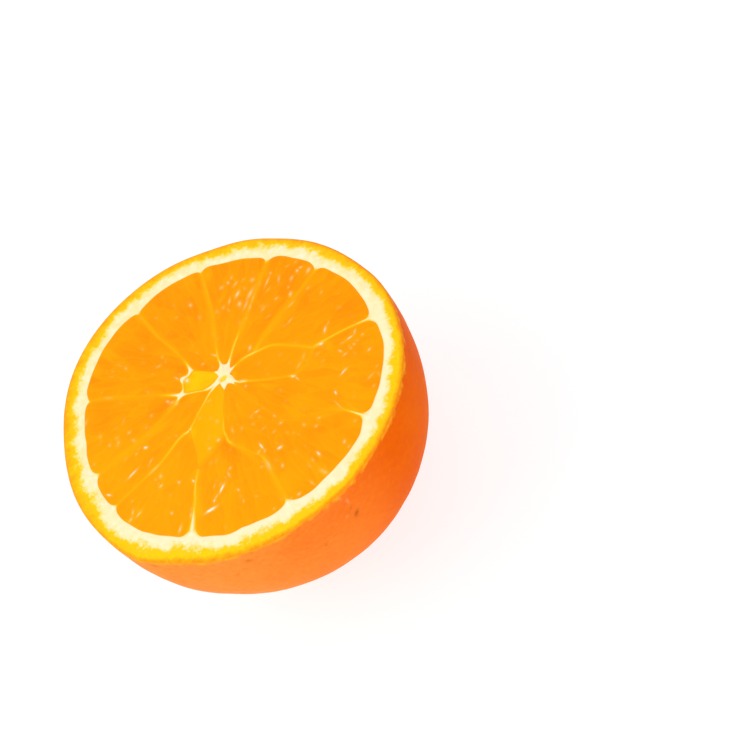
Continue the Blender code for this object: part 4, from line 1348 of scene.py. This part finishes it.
def zest_colour(shader):
    """From the edge of the skin over the yellow zest to the white, by the place on the rim."""
    place = shader.attribute("rim_place", "Vector")
    creamy = shader.attribute("creamy")
    lobes = shader.range(shader.noise(0.42, 2, 0.5, place), 0.3, 0.7, -0.28, 0.28)
    ragged = shader.range(shader.noise(1.3, 3, 0.6, place), 0.3, 0.7, -0.2, 0.2)
    depth = shader.math("ADD", shader.attribute("zest_share"), shader.math("ADD", lobes, ragged))
    zest = shader.ramp(shader.range(depth, 0.0, 2.0), (
        (0.0, (0.98, 0.36, 0.0)),
        (0.1, (0.99, 0.42, 0.0)),
        (0.25, (0.99, 0.5, 0.0)),
        (0.45, (0.99, 0.58, 0.001)),
        (0.53, (0.98, 0.7, 0.12)),
        (0.62, (0.97, 0.77, 0.32)),
    ))
    cream = shader.mix(creamy, (0.96, 0.79, 0.38), (0.97, 0.86, 0.52))
    patches = shader.range(shader.noise(0.6, 4, 0.6, place), 0.4, 0.65)
    cream = shader.mix(patches, cream, (0.98, 0.88, 0.58))
    zest = shader.mix(shader.range(depth, 1.15, 1.5), zest, cream)
    golden = shader.math("MULTIPLY", creamy, shader.range(depth, 1.0, 0.6))
    zest = shader.mix(golden, zest, (1.0, 0.63, 0.0))
    mottle = shader.range(shader.noise(1.1, 3, 0.6, place), 0.52, 0.64, 0, 0.75)
    mottle = shader.math("MULTIPLY", mottle, shader.range(depth, 1.1, 1.8, 1, 0))
    mottle = shader.math("MULTIPLY", mottle, shader.range(depth, 0.8, 1.0))
    zest = shader.mix(mottle, zest, (0.98, 0.73, 0.14))
    gland = shader.range(shader.attribute("gland"), 0, 1, 0, 0.15)
    zest = shader.mix(gland, zest, (0.98, 0.4, 0.0))
    worn = shader.range(shader.noise(0.8, 3, 0.6, place), 0.3, 0.7, -0.3, 0.3)
    edge = shader.math("ADD", shader.attribute("edge_share"), worn)
    return shader.mix(shader.range(edge, 0.0, 1.2), (0.97, 0.27, 0.0), zest)


def web_material():
    shader = Shader("rind_and_membranes")
    from_pulp = shader.attribute("from_pulp")
    wall = vein_colour(shader, shader.attribute("white"), PULP_COLOUR)
    colour = shader.mix(shader.range(from_pulp, -0.3, 0.1), wall, zest_colour(shader))
    softness = shader.range(shader.attribute("from_pocket"), 0.0, 0.14, 0.65, 1.0, True)
    softened = shader.mix(softness, (0.98, 0.6, 0.1), colour)
    colour = shader.mix(shader.range(from_pulp, -0.8, -0.2), colour, softened)
    colour = shader.mix(shader.attribute("hollow"), colour, (1.0, 0.64, 0.03))
    shader.bump(shader.noise(1100, 4, 0.65), 0.08, 0.3)
    return shader.finished(Base_Color=colour, Roughness=0.6, Specular_IOR_Level=0.12)


def pulp_material(name, deep, light, pale):
    shader = Shader(name)
    flow = shader.attribute("flow", "Vector")
    fleck_and_glint = shader.attribute("fleck_and_glint")
    haze = shader.attribute("haze")
    tone = shader.math("MULTIPLY", shader.attribute("tone"), 0.2)
    streaks = shader.math("MULTIPLY", shader.noise(0.9, 4, 0.6, flow, (0.22, 1.0, 1.0)), 0.4)
    cloudy = shader.math("MULTIPLY", shader.noise(110, 2), 0.5)
    factor = shader.math("ADD", shader.math("ADD", tone, streaks), cloudy)
    factor = shader.math("ADD", shader.range(factor, 0.3, 0.8), haze)
    colour = shader.mix(factor, deep, light)
    colour = shader.mix(shader.attribute("fade"), colour, PULP_COLOUR)
    colour = shader.mix(shader.range(haze, 0, 1, 0, 0.8), colour, pale)
    colour = shader.mix(shader.math("MULTIPLY", shader.attribute("seam"), 0.2), colour, pale)
    colour = shader.mix(shader.math("MULTIPLY", shader.attribute("halo"), 0.5), colour, pale)
    colour = vein_colour(shader, shader.attribute("vein"), colour)
    # Torn sac walls: pale, and near white where brightest as a painted glint.
    torn = shader.ramp(fleck_and_glint, (
        (0.2, (1.0, 0.6, 0.16)),
        (0.5, (1.0, 0.7, 0.33)),
        (0.85, (1.0, 0.87, 0.7)),
    ))
    colour = shader.mix(shader.range(fleck_and_glint, 0, 0.62), colour, torn)
    shader.bump(shader.noise(1.6, 3, 0.6, flow, (0.3, 1.0, 1.0)), 0.03, 0.35)
    return shader.finished(
        Base_Color=colour,
        Roughness=0.3,
        Specular_IOR_Level=0.05,
        Subsurface_Weight=0.12,
        Subsurface_Radius=(1.0, 0.45, 0.05),
        Subsurface_Scale=0.001,
    )


def fleck_material():
    shader = Shader("torn_sacs_and_glints")
    # The slivers are paler the brighter they are, a painted highlight on top of their own gloss.
    bright = shader.range(shader.attribute("bright"), 0.5, 1.0)
    colour = shader.mix(bright, (1.0, 0.66, 0.3), (1.0, 0.88, 0.74))
    return shader.finished(Base_Color=colour, Roughness=0.25, Specular_IOR_Level=0.3)


def add_floor():
    mesh = bpy.data.meshes.new("floor")
    ways = ((-1, -1), (1, -1), (1, 1), (-1, 1))
    corners = [(x * FLOOR_HALF_SIDE, y * FLOOR_HALF_SIDE, 0) for x, y in ways]
    mesh.from_pydata(corners, [], [(0, 1, 2, 3)])
    mesh.materials.append(Shader("floor").finished(
        Base_Color=(0.26, 0.28, 0.285),
        Roughness=0.7,
        Emission_Color=(1, 1, 1),
        Emission_Strength=WHITE_GROUND,
    ))
    floor = bpy.data.objects.new("floor", mesh)
    bpy.context.collection.objects.link(floor)


def view_axes():
    """The unit vectors from the cut's middle to the camera, and to the right and up in the photo."""
    back = Vector((0, -math.cos(CAMERA_ELEVATION), math.sin(CAMERA_ELEVATION)))
    level = Vector((1, 0, 0))
    rise = back.cross(level)
    right = level * math.cos(CAMERA_ROLL) - rise * math.sin(CAMERA_ROLL)
    up = level * math.sin(CAMERA_ROLL) + rise * math.cos(CAMERA_ROLL)
    return back, right, up


def add_camera():
    """The photograph's camera, turned so that the middle of the cut falls on its pixel."""
    back, right, up = view_axes()
    data = bpy.data.cameras.new("camera")
    data.sensor_width = SENSOR_WIDTH
    data.lens = FOCAL_PIXELS / PHOTO_WIDTH * SENSOR_WIDTH
    data.clip_start = 0.01
    camera = bpy.data.objects.new("camera", data)
    middle = PHOTO_WIDTH / 2
    toward = Vector((FACE_PIXEL[0] - middle, middle - FACE_PIXEL[1], -FOCAL_PIXELS)).normalized()
    swing = toward.rotation_difference(Vector((0, 0, -1))).to_matrix()
    axes = Matrix((right, up, back)).transposed() @ swing
    face = Vector((-MIDDLE[0] * MM, -MIDDLE[1] * MM, CUT_HEIGHT * MM))
    camera.matrix_world = Matrix.Translation(face + back * CAMERA_DISTANCE) @ axes.to_4x4()
    bpy.context.collection.objects.link(camera)
    bpy.context.scene.camera = camera


def add_light(name, direction, size, power):
    """A square soft light that shines on the half from this direction."""
    data = bpy.data.lights.new(name, "AREA")
    data.size = size
    data.energy = power
    light = bpy.data.objects.new(name, data)
    aim = Vector((0, 0, CUT_HEIGHT * MM * 0.6))
    place = aim + Vector(direction).normalized()
    light.location = place
    light.rotation_euler = (aim - place).to_track_quat("-Z", "Y").to_euler()
    bpy.context.collection.objects.link(light)


def add_lights():
    for lamp in LAMPS:
        add_light(*lamp)
    world = bpy.data.worlds.new("world")
    world.use_nodes = True
    background = world.node_tree.nodes["Background"]
    background.inputs["Color"].default_value = (1, 1, 1, 1)
    background.inputs["Strength"].default_value = WHITE_GROUND
    bpy.context.scene.world = world


def build_all():
    random = np.random.default_rng(SEED)
    walls = Walls()
    outlines = [evenly(outline, OUTLINE_STEP) for outline in cell_outlines(walls)]
    flecks_and_glints = all_flecks_and_glints(random)
    build_peel(peel_material())
    build_web(outlines, walls, flecks_and_glints, web_material(), random)
    pulp = pulp_material("pulp", *PULP_COLOURS)
    for number, outline in enumerate(outlines[: len(SEGMENTS)]):
        relief = pulp_relief(walls, flecks_and_glints, random, outline)
        cut_piece(f"segment_{number + 1:02d}", outline, PULP_STEP, relief, pulp, random)
    finishes = [pulp_material(*row) for row in LOBE_COLOURS]
    for number, ((_, depth, slope, fading), finish) in enumerate(zip(LOBES, finishes)):
        outline = outlines[len(SEGMENTS) + number]
        relief = lobe_relief(walls, flecks_and_glints, depth, slope, fading)
        cut_piece(f"lobe_{number + 1}", outline, LOBE_STEP, relief, finish, random)
    build_flecks(outlines, flecks_and_glints, fleck_material(), random)


build_all()
add_floor()
add_camera()
add_lights()
bpy.context.scene.view_settings.view_transform = "Standard"
